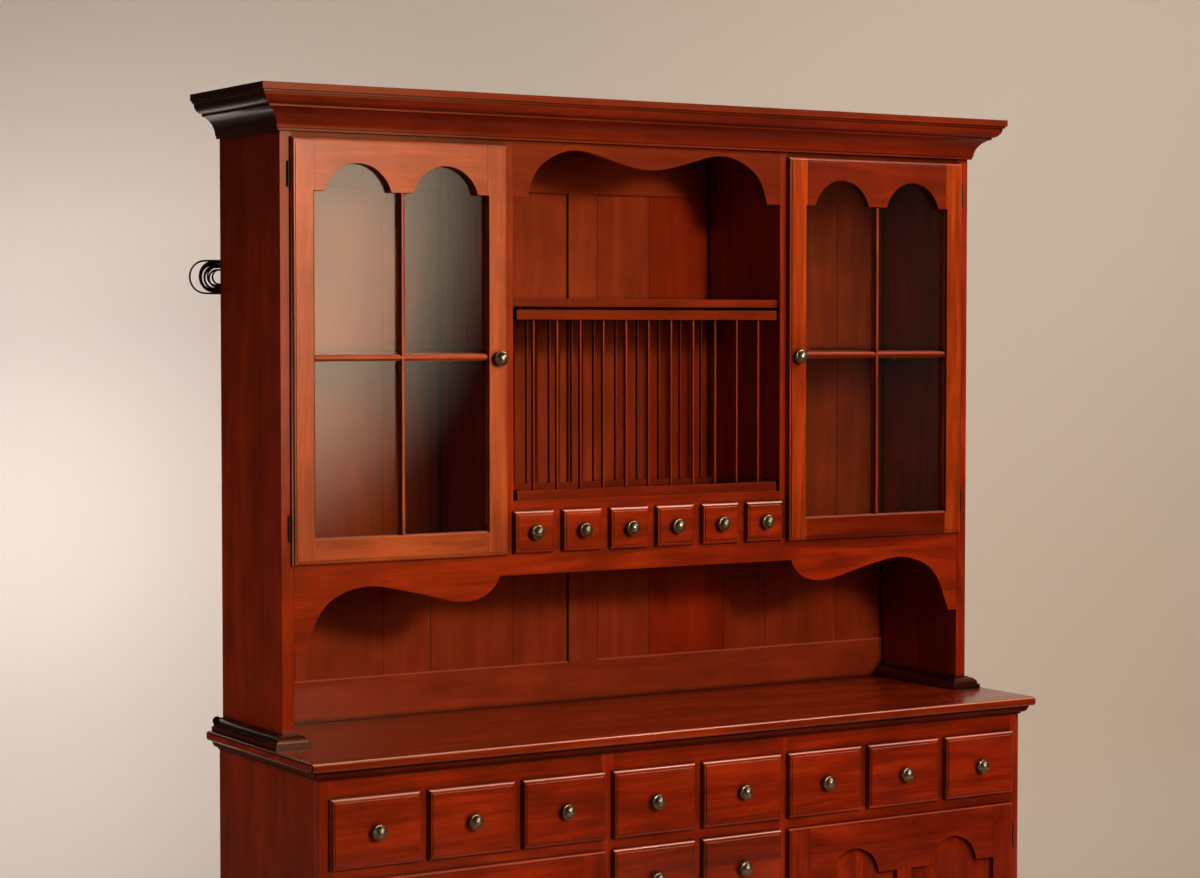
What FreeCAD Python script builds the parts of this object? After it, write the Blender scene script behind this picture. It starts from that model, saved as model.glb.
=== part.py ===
import FreeCAD, Part
import math
import os
import re
from FreeCAD import Matrix, Placement, Rotation, Vector

doc = FreeCAD.newDocument("china_cabinet")

# Driving sizes in millimetres. The hutch is the glazed upper case, the base is the lower case
# with drawers, and the counter is the board between them.
SIZES = {
    # hutch case
    "hutch_inset": 8,
    "hutch_depth": 300,
    "side_thickness": 27,
    "partition_thickness": 22.5,
    "centre_width": 695,
    "case_board": 19,
    "ceiling_rise": 60,
    "cupboard_floor_height": 376.5,
    "door_opening_height": 860,
    "door_head_drop": 16.5,
    # back of framed boards, let into rabbets of the sides
    "back_thickness": 13,
    "back_rabbet": 8,
    "back_bottom_rail": 93,
    "back_top_rail_drop": 95,
    "back_centre_stile": 84,
    "board_setback": 4,
    "back_chamfer": 4,
    "board_joint": 0.8,
    # scalloped apron and valance
    "apron_leg": 188.5,
    "apron_bridge": 49.5,
    "apron_leg_width": 24.5,
    "apron_corner_reach": 33.5,
    "valance_leg": 120,
    "valance_leg_width": 36,
    # cornice
    "cornice_height": 91,
    "cornice_reach": 66.5,
    # display shelf and plate rack
    "display_shelf_height": 918.5,
    "display_shelf_board": 17.5,
    "display_shelf_setback": 8,
    "rack_bar_height": 21,
    "rack_bar_depth": 20,
    "rack_end_gap": 9,
    "rack_head_gap": 7,
    "rack_rear_gap": 37,
    "spindle_diameter": 8,
    "spindle_pitch": 58.6,
    # spice drawers
    "spice_opening_height": 84.5,
    "spice_deck": 25,
    "spice_divider": 26,
    "spice_overlap": 3,
    "spice_box_depth": 250,
    "spice_knob_diameter": 32,
    # lipped fronts with a thumbnail edge
    "lip_thickness": 10,
    "lip_overlap": 5.5,
    "lip_gap": 0.3,
    "nail_round": 6.5,
    "nail_width": 8.5,
    "field_rise": 1.5,
    "tongue_depth": 10,
    "front_clearance": 1,
    # drawer boxes
    "drawer_side": 9,
    "drawer_bottom": 6,
    "drawer_bottom_lift": 5,
    "drawer_run_gap": 0.3,
    "drawer_head_room": 7,
    # knobs
    "knob_diameter": 32,
    "knob_projection": 26,
    # glazed doors
    "glazed_stile": 51,
    "glazed_bottom_rail": 54,
    "glazed_top_rail": 108,
    "arch_radius": 78,
    "arch_offset": 102,
    "arch_top_margin": 50,
    "muntin_width": 14,
    "muntin_setback": 2,
    "muntin_chamfer": 5,
    "stile_chamfer": 4,
    "muntin_drop": 13,
    "glass_thickness": 3,
    "glass_seat": 3,
    "glass_margin": 8,
    "glass_play": 1,
    "glazed_knob_drop": 16,
    # adjustable shelves
    "shelf_board": 18,
    "shelf_setback": 25,
    "shelf_play": 0.5,
    "shelf_pin_diameter": 5,
    "shelf_pin_length": 10,
    "shelf_pin_inset": 50,
    "shelf_pin_gap": 0.2,
    "base_shelf_height": 225,
    # foot moulding of the hutch
    "foot_height": 27,
    "foot_reach": 26,
    # base case
    "base_width": 1794,
    "base_depth": 486,
    "base_side": 22,
    "counter_height": 838,
    "counter_thickness": 20,
    "counter_overhang": 30,
    "counter_round": 6,
    "counter_mould_height": 20,
    "counter_mould_reach": 18,
    "frame_thickness": 22,
    "frame_outer_stile": 27.5,
    "frame_stile": 29,
    "base_centre_width": 423.6,
    "base_top_rail": 63.5,
    "row_rail": 34,
    "base_bottom_rail": 30,
    "plinth_height": 90.5,
    "base_partition": 20,
    "web_board": 15,
    "drawer_divider": 12,
    "base_box_depth": 400,
    "plinth_board": 18,
    "plinth_foot": 170,
    "plinth_cut_rise": 52,
    "plinth_top_round": 8,
    # panelled base doors
    "panel_stile": 60,
    "panel_mid_stile": 42,
    "panel_bottom_rail": 65,
    "panel_top_rail": 121,
    "panel_arch_radius": 69,
    "panel_arch_margin": 61,
    "panel_groove": 8,
    "panel_play": 0.6,
    "panel_plate": 7,
    "panel_plate_setback": 8,
    "panel_raise": 5,
    "panel_bevel": 22,
    "panel_edge_gap": 2,
    "panel_knob_lift": 60,
    # butt hinges
    "hinge_length": 52,
    "hinge_inset": 50,
    "hinge_barrel": 6,
    "hinge_offset": 3.6,
    "hinge_sink": 0.6,
    "hinge_leaf": 1.2,
    "hinge_leaf_width": 8.5,
    "hinge_pin": 2.4,
    "hinge_play": 0.3,
    # cupboard lamps and their lead
    "lamp_diameter": 70,
    "lamp_height": 18,
    "lens_diameter": 56,
    "lens_height": 4,
    "gland_width": 16,
    "gland_depth": 10,
    "gland_height": 14,
    "gland_taper": 24,
    "gland_tip_diameter": 4.8,
    "gland_root_diameter": 7.2,
    "gland_drop": 60,
    "gland_inset": 119,
    "cord_diameter": 4,
    "cord_pitch": 4.6,
    "cord_standoff": 4,
    "cord_gap": 0.3,
    "lead_reach": 76,
    "lead_drop": 173,
    "coil_inset": 136,
    "coil_run": 48,
    "coil_fan": 5,
    "coil_radius": 33,
    "loose_loop_radius": 34.6,
    "loose_loop_reach": 15,
    "tail_inset": 100,
    "tail_radius": 18,
    "tail_drop": 40,
    "tie_wall": 1,
    "tie_width": 6,
    "tie_gap": 0.4,
    "plug_width": 24,
    "plug_depth": 15,
    "plug_length": 34,
    "plug_neck": 12,
    "plug_neck_diameter": 8,
    "plug_blade": 17,
    "plug_blade_width": 6.4,
    "plug_blade_thickness": 1.5,
    "plug_blade_spacing": 12.7,
    # tie plate and cord peg behind the hutch
    "plate_width": 19,
    "plate_thickness": 2,
    "plate_centres": 64,
    "plate_hole": 5,
    "plate_overhang": 13.5,
    "plate_eye_height": 20,
    "plate_lean": 32,
    "peg_diameter": 4,
    "peg_head_diameter": 9,
    "peg_head": 3,
    "peg_reach": 16,
    # how far a cutting shape runs past the piece that it cuts
    "overrun": 4,
}

# Places worked out from the sizes. The origin is under the middle of the cabinet's box on the
# floor, the front faces -Y, and the knob tips and the cord peg end the box front and back.
PLACES = {
    "depth_over_all": "lip_gap + lip_thickness + field_rise + knob_projection + base_depth + peg_reach",
    "y_back": "depth_over_all / 2 - peg_reach",
    "y_base": "y_back - base_depth",
    "y_hutch": "y_back - hutch_depth",
    "y_lining": "y_back - back_thickness",
    "y_frame": "y_base + frame_thickness",
    "z_counter": "counter_height",
    "z_counter_under": "counter_height - counter_thickness",
    "hutch_face_height": "cupboard_floor_height + door_opening_height + door_head_drop",
    "z_cornice": "counter_height + hutch_face_height",
    "z_ceiling": "z_cornice + ceiling_rise",
    "z_hutch_top": "z_ceiling + case_board",
    "z_floor": "counter_height + cupboard_floor_height",
    "z_door_head": "z_floor + door_opening_height",
    "z_deck": "z_floor + spice_opening_height",
    "z_deck_top": "z_deck + spice_deck",
    "rack_top_height": "display_shelf_height - display_shelf_board - rack_head_gap",
    "hutch_width": "base_width - 2 * hutch_inset",
    "x_hutch": "hutch_width / 2",
    "x_inside": "x_hutch - side_thickness",
    "x_centre": "centre_width / 2",
    "x_partition": "x_centre + partition_thickness",
    "x_rabbet": "x_inside + back_rabbet",
    "spice_width": "(centre_width - 5 * spice_divider) / 6",
    "door_width": "x_inside - x_partition",
    "door_x": "(x_inside + x_partition) / 2",
    "door_z": "z_floor + door_opening_height / 2",
    "x_base": "base_width / 2",
    "x_base_inside": "x_base - base_side",
    "x_bank": "base_centre_width / 2",
    "x_bay": "x_bank + frame_stile",
    "x_bay_end": "x_base - frame_outer_stile",
    "bay_width": "x_bay_end - x_bay",
    "bay_x": "(x_bay + x_bay_end) / 2",
    "bank_drawer": "(base_centre_width - frame_stile) / 2",
    "bay_drawer": "(bay_width - 2 * frame_stile) / 3",
    "rows_height": "z_counter_under - base_top_rail - base_bottom_rail - plinth_height",
    "row_height": "(rows_height - 3 * row_rail) / 4",
    "row_pitch": "row_height + row_rail",
    "z_row": "z_counter_under - base_top_rail - row_height",
    "z_base_floor": "z_row - 3 * row_pitch",
    "z_plinth": "z_base_floor - base_bottom_rail",
    "panel_door_height": "3 * row_height + 2 * row_rail",
    "panel_door_z": "z_base_floor + panel_door_height / 2",
    "x_base_partition": "x_bank + frame_stile / 2 - base_partition / 2",
    "x_base_partition_out": "x_base_partition + base_partition",
}

WORD = re.compile(r"[a-z][a-z0-9_]*")


def fill_sheet(name, cells):
    """Write a table of named cells and return the sheet."""
    sheet = doc.addObject("Spreadsheet::Sheet", name)
    for row, (alias, content) in enumerate(cells.items(), 1):
        sheet.set(f"A{row}", alias)
        sheet.set(f"B{row}", content)
        sheet.setAlias(f"B{row}", alias)
    return sheet


def bind(text):
    """Name the sheet of each size or place in an expression."""
    def with_sheet(match):
        word = match.group()
        if word in SIZES:
            return "Sizes." + word
        return "Places." + word if word in PLACES else word
    return WORD.sub(with_sheet, text)


sizes_sheet = fill_sheet("Sizes", {alias: str(value) for alias, value in SIZES.items()})
places_sheet = fill_sheet("Places", {alias: "=" + bind(text).replace("Places.", "")
                                     for alias, text in PLACES.items()})
doc.recompute()


class Values:
    """Plain numbers of both sheets, for outlines and routes."""


mm = Values()
for alias in SIZES:
    setattr(mm, alias, float(sizes_sheet.get(alias)))
for alias in PLACES:
    setattr(mm, alias, float(places_sheet.get(alias)))

nodes = []
AXIS = {"x": Rotation(Vector(0, 1, 0), 90), "y": Rotation(Vector(1, 0, 0), -90), "z": Rotation()}


def board(name, x, y, z):
    """A rectangular board between low and high expressions on each axis."""
    box = doc.addObject("Part::Box", name)
    for side, axis, (low, high) in (("Length", "x", x), ("Width", "y", y), ("Height", "z", z)):
        box.setExpression(side, bind(f"({high}) - ({low})"))
        box.setExpression("Placement.Base." + axis, bind(low))
    return box


def mirror_span(span):
    """The same span on the other side of the middle plane."""
    return f"-({span[1]})", f"-({span[0]})"


def board_pair(name, x, y, z):
    """A board and its mirror image on the left."""
    return [board(name + "_left", mirror_span(x), y, z), board(name + "_right", x, y, z)]


def rod(name, diameter, length, at, axis="z"):
    """A round bar from a point along an axis."""
    bar = doc.addObject("Part::Cylinder", name)
    bar.Placement = Placement(Vector(), AXIS[axis])
    bar.setExpression("Radius", bind(f"({diameter}) / 2"))
    bar.setExpression("Height", bind(length))
    for letter, text in zip("xyz", at):
        bar.setExpression("Placement.Base." + letter, bind(text))
    return bar


def fuse(name, pieces):
    """One solid from overlapping or touching pieces."""
    joined = doc.addObject("Part::MultiFuse", name)
    joined.Shapes = pieces
    joined.Refine = True
    return joined


def group(name, pieces):
    """Separate solids that belong together."""
    compound = doc.addObject("Part::Compound", name)
    compound.Links = pieces
    return compound


def cut(name, base, tools):
    """A piece with recesses or holes taken out."""
    carved = doc.addObject("Part::Cut", name)
    carved.Base = base
    carved.Tool = tools[0] if len(tools) == 1 else fuse(name + "_tools", tools)
    return carved


def common(name, base, tool):
    """The part of a piece that lies inside another shape."""
    shared = doc.addObject("Part::Common", name)
    shared.Base = base
    shared.Tool = tool
    return shared


def node(label, pieces, at=None):
    """A named sub-part made of one or more solids, moved to its place."""
    made = group("node_" + label, pieces)
    made.Label = label
    for letter, text in zip("xyz", at or ()):
        made.setExpression("Placement.Base." + letter, bind(text))
    nodes.append(made)
    return made


def outline(start, *steps):
    """Edges from point to point: a pair is a straight line, a pair of pairs is an arc through the
    first to the second, and a list is a smooth curve through its points."""
    here = Vector(*start, 0)
    edges = []
    for step in steps:
        if isinstance(step, list):
            points = [here] + [Vector(*point, 0) for point in step]
            edge = Part.BSplineCurve()
            edge.interpolate(points)
            here = points[-1]
        elif isinstance(step[0], tuple):
            through, end = (Vector(*point, 0) for point in step)
            edge = Part.Arc(here, through, end)
            here = end
        else:
            end = Vector(*step, 0)
            edge = Part.LineSegment(here, end)
            here = end
        edges.append(edge)
    return edges


def sketch(name, edges, at=Vector(), across=Vector(1, 0, 0), up=Vector(0, 0, 1)):
    """An outline drawn on a plane given by its across and up directions."""
    plane = doc.addObject("Sketcher::SketchObject", name)
    plane.addGeometry(edges)
    out = across.cross(up)
    plane.Placement = Placement(Matrix(across.x, up.x, out.x, at.x,
                                       across.y, up.y, out.y, at.y,
                                       across.z, up.z, out.z, at.z))
    return plane


def extrude(name, plane, direction, length):
    """A sketch drawn out into a solid."""
    solid = doc.addObject("Part::Extrusion", name)
    solid.Base = plane
    solid.DirMode = "Custom"
    solid.Dir = direction
    solid.Solid = True
    solid.setExpression("LengthFwd", bind(length))
    return solid


def round_edges(name, piece, radius, chosen):
    """A piece with the chosen edges rounded."""
    doc.recompute()
    rounded = doc.addObject("Part::Fillet", name)
    rounded.Base = piece
    rounded.Edges = [(number, radius, radius)
                     for number, edge in enumerate(piece.Shape.Edges, 1) if chosen(edge)]
    return rounded


def is_at(edge, axis, place):
    """True where a whole edge lies in a plane across an axis."""
    return all(abs(getattr(vertex, axis) - place) < 0.001 for vertex in edge.Vertexes)


def moulding(name, profile, corner, out, along, length, plan):
    """A length of moulding with its profile drawn outwards and upwards from the corner that it
    covers. Its ends are mitred by the plan, a list of x and y places."""
    face = sketch(name + "_profile", profile, corner, out)
    strip = extrude(name + "_strip", face, along, length)
    flat = outline(plan[0], *plan[1:], plan[0])
    low = Vector(0, 0, corner.z - mm.overrun)
    cutter = extrude(name + "_plan", sketch(name + "_mitre", flat, low, up=Vector(0, 1, 0)),
                     Vector(0, 0, 1), "cornice_height + counter_height")
    return common(name, strip, cutter)


def lipped_front(name, width, height, overlap):
    """A front that closes an opening centred on the local origin: a lip with a thumbnail edge laps
    over the frame, a raised field ends the edge in a small step, and a tongue fills the opening."""
    def span(extent, margin):
        return f"-({extent}) / 2 - ({margin})", f"({extent}) / 2 + ({margin})"
    lip = board(name + "_lip", span(width, overlap), ("-lip_gap - lip_thickness", "-lip_gap"),
                span(height, overlap))
    face = -mm.lip_gap - mm.lip_thickness
    lip = round_edges(name + "_thumbnail", lip, mm.nail_round, lambda edge: is_at(edge, "Y", face))
    inside = f"{overlap} - nail_width"
    field = board(name + "_field", span(width, inside),
                  ("-lip_gap - lip_thickness - field_rise", "-lip_gap - nail_width / 2"),
                  span(height, inside))
    tongue = board(name + "_tongue", span(width, "-front_clearance"),
                   ("-lip_gap - lip_thickness / 4", "tongue_depth"), span(height, "-front_clearance"))
    return fuse(name, [lip, field, tongue])


def knob(name, diameter, at):
    """A turned mushroom knob on a face, with a spread foot, a thin neck, a rounded rim and a domed head
    inside the rim. The profile is in shares of the rim's radius and of the projection."""
    head = float(sizes_sheet.get(diameter)) / 2
    reach = mm.knob_projection * head * 2 / mm.knob_diameter

    def turned_point(across_share, rise_share):
        return head * across_share, reach * rise_share
    foot_share, neck_share, dome_share, dome_rise_share = 0.62, 0.38, 0.86, 0.62
    dome, rim = turned_point(dome_share, dome_rise_share)
    level = (reach ** 2 - rim ** 2 - dome ** 2) / (2 * (reach - rim))
    radius = reach - level
    lean = math.atan2(dome, rim - level) / 2
    profile = outline((0, 0), turned_point(foot_share, 0), turned_point(foot_share, 0.08),
                      turned_point(neck_share, 0.30),
                      (turned_point(0.60, 0.40), turned_point(0.94, 0.46)),
                      (turned_point(1, 0.53), turned_point(0.93, 0.60)), (dome, rim),
                      ((radius * math.sin(lean), level + radius * math.cos(lean)), (0, reach)), (0, 0))
    turned = doc.addObject("Part::Revolution", name)
    turned.Source = sketch(name + "_profile", profile, at, up=Vector(0, -1, 0))
    turned.Axis = Vector(0, 1, 0)
    turned.Base = at
    turned.Angle = 360
    turned.Solid = True
    return turned


def front_face():
    """Local depth of a front's raised field."""
    return -mm.lip_gap - mm.lip_thickness - mm.field_rise


def flare(name, x, z, face, depth, sides):
    """A cutting shape that bevels the front arris of an opening. It has the opening's size at the given
    depth and spreads evenly towards the front on the sides that the bevel runs along."""
    wedge = doc.addObject("Part::Wedge", name)
    spread = f"({depth} + overrun)"
    wedge.setExpression("Ymin", bind(f"{face} - overrun"))
    wedge.setExpression("Ymax", bind(f"{face} + {depth}"))
    for axis, (low, high), low_side, high_side in (("X", x, "left", "right"), ("Z", z, "below", "above")):
        wedge.setExpression(f"{axis}2min", bind(low))
        wedge.setExpression(f"{axis}2max", bind(high))
        wedge.setExpression(f"{axis}min", bind(f"{low} - {spread}" if low_side in sides else low))
        wedge.setExpression(f"{axis}max", bind(f"{high} + {spread}" if high_side in sides else high))
    return wedge


def bevel_edges(name, piece, size, chosen):
    """A piece with the chosen edges bevelled."""
    doc.recompute()
    bevelled = doc.addObject("Part::Chamfer", name)
    bevelled.Base = piece
    bevelled.Edges = [(number, size, size)
                      for number, edge in enumerate(piece.Shape.Edges, 1) if chosen(edge)]
    return bevelled


# Hutch sides stand on the counter, with a rabbet for the back and shallow mortises for the hinges.
hutch_top = ("z_counter", "z_hutch_top")
side_blanks = board_pair("side_blank", ("x_inside", "x_hutch"), ("y_hutch", "y_back"), hutch_top)
side_rabbets = board_pair("side_rabbet", ("x_inside - overrun", "x_rabbet"),
                          ("y_lining", "y_back + overrun"), hutch_top)


def hinge_levels(middle, height):
    """Lower ends of the two hinges of a door, from its opening's middle and height."""
    return (f"{middle} - {height} / 2 - lip_overlap + hinge_inset",
            f"{middle} + {height} / 2 + lip_overlap - hinge_inset - hinge_length")


GLAZED_LEVELS = hinge_levels("door_z", "door_opening_height")
PANEL_LEVELS = hinge_levels("panel_door_z", "panel_door_height")


def frame_mortises(name, edge, face, levels):
    """Mortises for the fixed leaves, beside an opening's outer edge, on the right and the left."""
    axis = f"{edge} + lip_overlap + hinge_offset"
    pairs = [board_pair(f"{name}_{number}",
                        (f"{axis} - hinge_leaf_width - hinge_play - overrun",
                         f"{axis} + hinge_barrel / 2 + hinge_play"),
                        (f"{face} - overrun", f"{face} + hinge_leaf"),
                        (f"{level} - hinge_play", f"{level} + hinge_length + hinge_play"))
             for number, level in enumerate(levels)]
    return [pair[0] for pair in pairs], [pair[1] for pair in pairs]


mortises = frame_mortises("glazed_mortise", "x_inside", "y_hutch", GLAZED_LEVELS)
node("hutch_sides", [cut("side_" + hand, blank, [rabbet] + pockets) for hand, blank, rabbet, pockets
                     in zip(("left", "right"), side_blanks, side_rabbets, mortises)])

# Ceiling and floor boards run between the sides, and two partitions stand on the floor.
inner_depth = ("y_hutch + case_board", "y_lining")
node("hutch_top_and_floor", [
    board("hutch_top", ("-x_inside", "x_inside"), inner_depth, ("z_ceiling", "z_hutch_top")),
    board("hutch_floor", ("-x_inside", "x_inside"), inner_depth, ("z_floor - case_board", "z_floor"))])
node("hutch_partitions", board_pair("partition", ("x_centre", "x_partition"), ("y_hutch", "y_lining"),
                                    ("z_floor", "z_ceiling")))

# The front rails over the doors and the scalloped valance between the partitions are flush with the
# sides. The valance's lower edge runs through shares of its half width and of its leg's drop.
VALANCE_SHARES = ((0, 0.44), (0.32, 0.29), (0.65, 0.138), (0.825, 0.298), (0.918, 0.495), (0.962, 0.69))
reach = mm.x_centre - mm.valance_leg_width
scallop = [(-reach * across, mm.z_cornice - mm.valance_leg * drop)
           for across, drop in reversed(VALANCE_SHARES)]
scallop += [(-across, height) for across, height in reversed(scallop[:-1])]
leg_end = mm.z_cornice - mm.valance_leg
valance_edge = outline((-mm.x_centre, mm.z_hutch_top), (-mm.x_centre, leg_end), (-reach, leg_end),
                       scallop + [(reach, leg_end)], (mm.x_centre, leg_end),
                       (mm.x_centre, mm.z_hutch_top), (-mm.x_centre, mm.z_hutch_top))
hutch_face = Vector(0, mm.y_hutch, 0)
valance = extrude("valance", sketch("valance_outline", valance_edge, hutch_face),
                  Vector(0, 1, 0), "case_board")
node("hutch_front_rails", [valance] + board_pair(
    "top_rail", ("x_partition", "x_inside"), ("y_hutch", "y_hutch + case_board"),
    ("z_door_head", "z_hutch_top")))

# The apron under the doors has a straight bridge, then a bulge and a tall arch down to each leg, in
# shares of the scallop's run and of its drop.
APRON_SHARES = ((0.068, 0.273), (0.173, 0.363), (0.359, 0.252), (0.534, 0.115), (0.681, 0.047),
                (0.804, 0.122), (0.9025, 0.324), (0.966, 0.698), (1, 1))
bridge = mm.z_floor - mm.apron_bridge
corner = mm.x_centre + mm.apron_corner_reach
leg_inside = mm.x_inside - mm.apron_leg_width
drop_end = mm.z_floor - mm.apron_leg
run = [(corner + (leg_inside - corner) * across, bridge - (bridge - drop_end) * drop)
       for across, drop in APRON_SHARES]
mirrored_run = [(-across, height) for across, height in reversed(run)]
apron_edge = outline((-mm.x_inside, mm.z_floor), (-mm.x_inside, drop_end), mirrored_run[0],
                     mirrored_run[1:] + [(-corner, bridge)], (corner, bridge), run,
                     (mm.x_inside, drop_end), (mm.x_inside, mm.z_floor), (-mm.x_inside, mm.z_floor))
node("scalloped_apron", [extrude("apron", sketch("apron_outline", apron_edge, hutch_face),
                                 Vector(0, 1, 0), "case_board")])

# Cornice of three mitred lengths. Outwards and upwards from its lower inner corner it has a small
# fillet, a cove, a fillet, an ovolo, a fillet and a square top, in shares of its reach and height.
def cornice_point(across_share, height_share):
    """A point of the cornice profile."""
    return mm.cornice_reach * across_share, mm.cornice_height * height_share


cornice_profile = outline(
    cornice_point(0, 0), cornice_point(0.12, 0), cornice_point(0.12, 0.066), cornice_point(0.15, 0.066),
    (cornice_point(0.28, 0.34), cornice_point(0.56, 0.50)), cornice_point(0.61, 0.50),
    cornice_point(0.61, 0.55), (cornice_point(0.79, 0.62), cornice_point(0.885, 0.79)),
    cornice_point(0.94, 0.79), cornice_point(0.94, 0.84), cornice_point(1, 0.84),
    cornice_point(1, 1), cornice_point(0, 1), cornice_point(0, 0))


def wrap(name, profile, reach, half, front, height, length):
    """Three lengths of moulding round the front and both sides of a case, mitred at its corners."""
    wide, ahead = half + reach, front - reach
    back = mm.y_back
    pieces = [moulding(name + "_front", profile, Vector(-wide, front, height), Vector(0, -1, 0),
                       Vector(1, 0, 0), length[0],
                       [(-half, front), (half, front), (wide, ahead), (-wide, ahead)])]
    for hand, side in (("left", -1), ("right", 1)):
        pieces.append(moulding(f"{name}_{hand}", profile, Vector(side * half, ahead, height),
                               Vector(side, 0, 0), Vector(0, 1, 0), length[1],
                               [(side * half, front), (side * wide, ahead), (side * wide, back),
                                (side * half, back)]))
    return pieces


node("cornice_moulding", wrap("cornice", cornice_profile, mm.cornice_reach, mm.x_hutch, mm.y_hutch,
                              mm.z_cornice, ("hutch_width + 2 * cornice_reach",
                                             "hutch_depth + cornice_reach")))

# The back is a frame of two rails and a centre stile, bevelled round boards of uneven width that lie a
# little behind it. The widths from the middle outwards are shares of the half width beside the stile.
BOARD_WIDTH_SHARES = (0.170, 0.255, 0.143, 0.257, 0.175)
frame_depth = ("y_lining", "y_back")
board_depth = ("y_lining + board_setback", "y_back - board_setback / 2")
board_height = ("z_counter + back_bottom_rail", "z_cornice - back_top_rail_drop")
beside_stile = ("back_centre_stile / 2", "x_rabbet + overrun")
bevels = [flare("back_bevel_left", mirror_span(beside_stile), board_height, "y_lining", "back_chamfer",
                ("right", "below", "above")),
          flare("back_bevel_right", beside_stile, board_height, "y_lining", "back_chamfer",
                ("left", "below", "above"))]
back_pieces = [cut(f"back_{name}", board(f"back_{name}_board", width, frame_depth, height), bevels)
               for name, width, height in (
                   ("bottom_rail", ("-x_rabbet", "x_rabbet"), ("z_counter", board_height[0])),
                   ("top_rail", ("-x_rabbet", "x_rabbet"), (board_height[1], "z_hutch_top")),
                   ("centre_stile", ("-back_centre_stile / 2", "back_centre_stile / 2"), board_height))]
passed = 0
for number, share in enumerate(BOARD_WIDTH_SHARES):
    beside = "(x_rabbet - back_centre_stile / 2)"
    low, high = (f"back_centre_stile / 2 + {beside} * {part:.3f}" for part in (passed, passed + share))
    passed += share
    back_pieces += board_pair(f"back_board_{number}", (low, high + " - board_joint"), board_depth,
                              board_height)
node("hutch_back", back_pieces)

# Display shelf over the plate rack, and the deck and dividers of the spice drawers below it.
between = ("-x_centre", "x_centre")
node("display_shelf", [board("shelf_over_rack", between, ("y_hutch + display_shelf_setback", "y_lining"),
                             ("z_counter + display_shelf_height - display_shelf_board",
                              "z_counter + display_shelf_height"))])
spice_case = [board("spice_deck_board", between, ("y_hutch", "y_lining"), ("z_deck", "z_deck_top"))]
for number in range(5):
    start = f"-x_centre + {number + 1} * spice_width + {number} * spice_divider"
    spice_case.append(board(f"spice_divider_{number}", (start, start + " + spice_divider"),
                            ("y_hutch", "y_lining"), ("z_floor", "z_deck")))
node("spice_drawer_case", spice_case)

# The plate rack is a loose frame on the deck: two rows of spindles between bars, tied by end bars.
bar_span = ("-x_centre + rack_end_gap", "x_centre - rack_end_gap")
front_bar = ("y_hutch", "y_hutch + rack_bar_depth")
rear_bar = ("y_lining - rack_rear_gap - rack_bar_depth", "y_lining - rack_rear_gap")
low_bar = ("z_deck_top", "z_deck_top + rack_bar_height")
high_bar = ("z_counter + rack_top_height - rack_bar_height", "z_counter + rack_top_height")
bars = []
spindles = []
for row, depth in (("front", front_bar), ("rear", rear_bar)):
    for level, height in (("low", low_bar), ("high", high_bar)):
        bars.append(board(f"rack_{row}_{level}", bar_span, depth, height))
    for number in range(-5, 6):
        spindles.append(rod(f"spindle_{row}_{number + 5}", "spindle_diameter",
                            f"({high_bar[0]}) - ({low_bar[1]})",
                            (f"{number} * spindle_pitch", depth[0] + " + rack_bar_depth / 2", low_bar[1])))
for level, height in (("low", low_bar), ("high", high_bar)):
    bars += board_pair(f"rack_end_{level}", ("x_centre - rack_end_gap - rack_bar_depth",
                                             "x_centre - rack_end_gap"), (front_bar[1], rear_bar[0]), height)
node("plate_rack_bars", bars)
node("plate_rack_spindles", spindles)

# Foot moulding wraps each side's foot outside, in front and inside, with an ovolo over a square base.
def foot_point(across_share, height_share):
    """A point of the foot profile."""
    return mm.foot_reach * across_share, mm.foot_height * height_share


foot_profile = outline(foot_point(0, 0), foot_point(1, 0), foot_point(1, 0.36), foot_point(0.84, 0.36),
                       foot_point(0.84, 0.44), (foot_point(0.66, 0.78), foot_point(0.24, 0.92)),
                       foot_point(0.24, 1), foot_point(0, 1), foot_point(0, 0))
foot_pieces = []
for hand, side in (("left", -1), ("right", 1)):
    out, inside = side * mm.x_hutch, side * mm.x_inside
    wide, narrow = side * (mm.x_hutch + mm.foot_reach), side * (mm.x_inside - mm.foot_reach)
    front, ahead = mm.y_hutch, mm.y_hutch - mm.foot_reach
    level = mm.z_counter
    foot_pieces += [
        moulding(f"foot_{hand}_outside", foot_profile, Vector(out, ahead, level), Vector(side, 0, 0),
                 Vector(0, 1, 0), "hutch_depth + foot_reach",
                 [(out, front), (wide, ahead), (wide, mm.y_back), (out, mm.y_back)]),
        moulding(f"foot_{hand}_front", foot_profile, Vector(min(wide, narrow), front, level),
                 Vector(0, -1, 0), Vector(1, 0, 0), "side_thickness + 2 * foot_reach",
                 [(out, front), (wide, ahead), (narrow, ahead), (inside, front)]),
        moulding(f"foot_{hand}_inside", foot_profile, Vector(inside, ahead, level), Vector(-side, 0, 0),
                 Vector(0, 1, 0), "hutch_depth + foot_reach",
                 [(inside, front), (narrow, ahead), (narrow, mm.y_lining), (inside, mm.y_lining)])]
node("foot_mouldings", foot_pieces)

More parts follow.
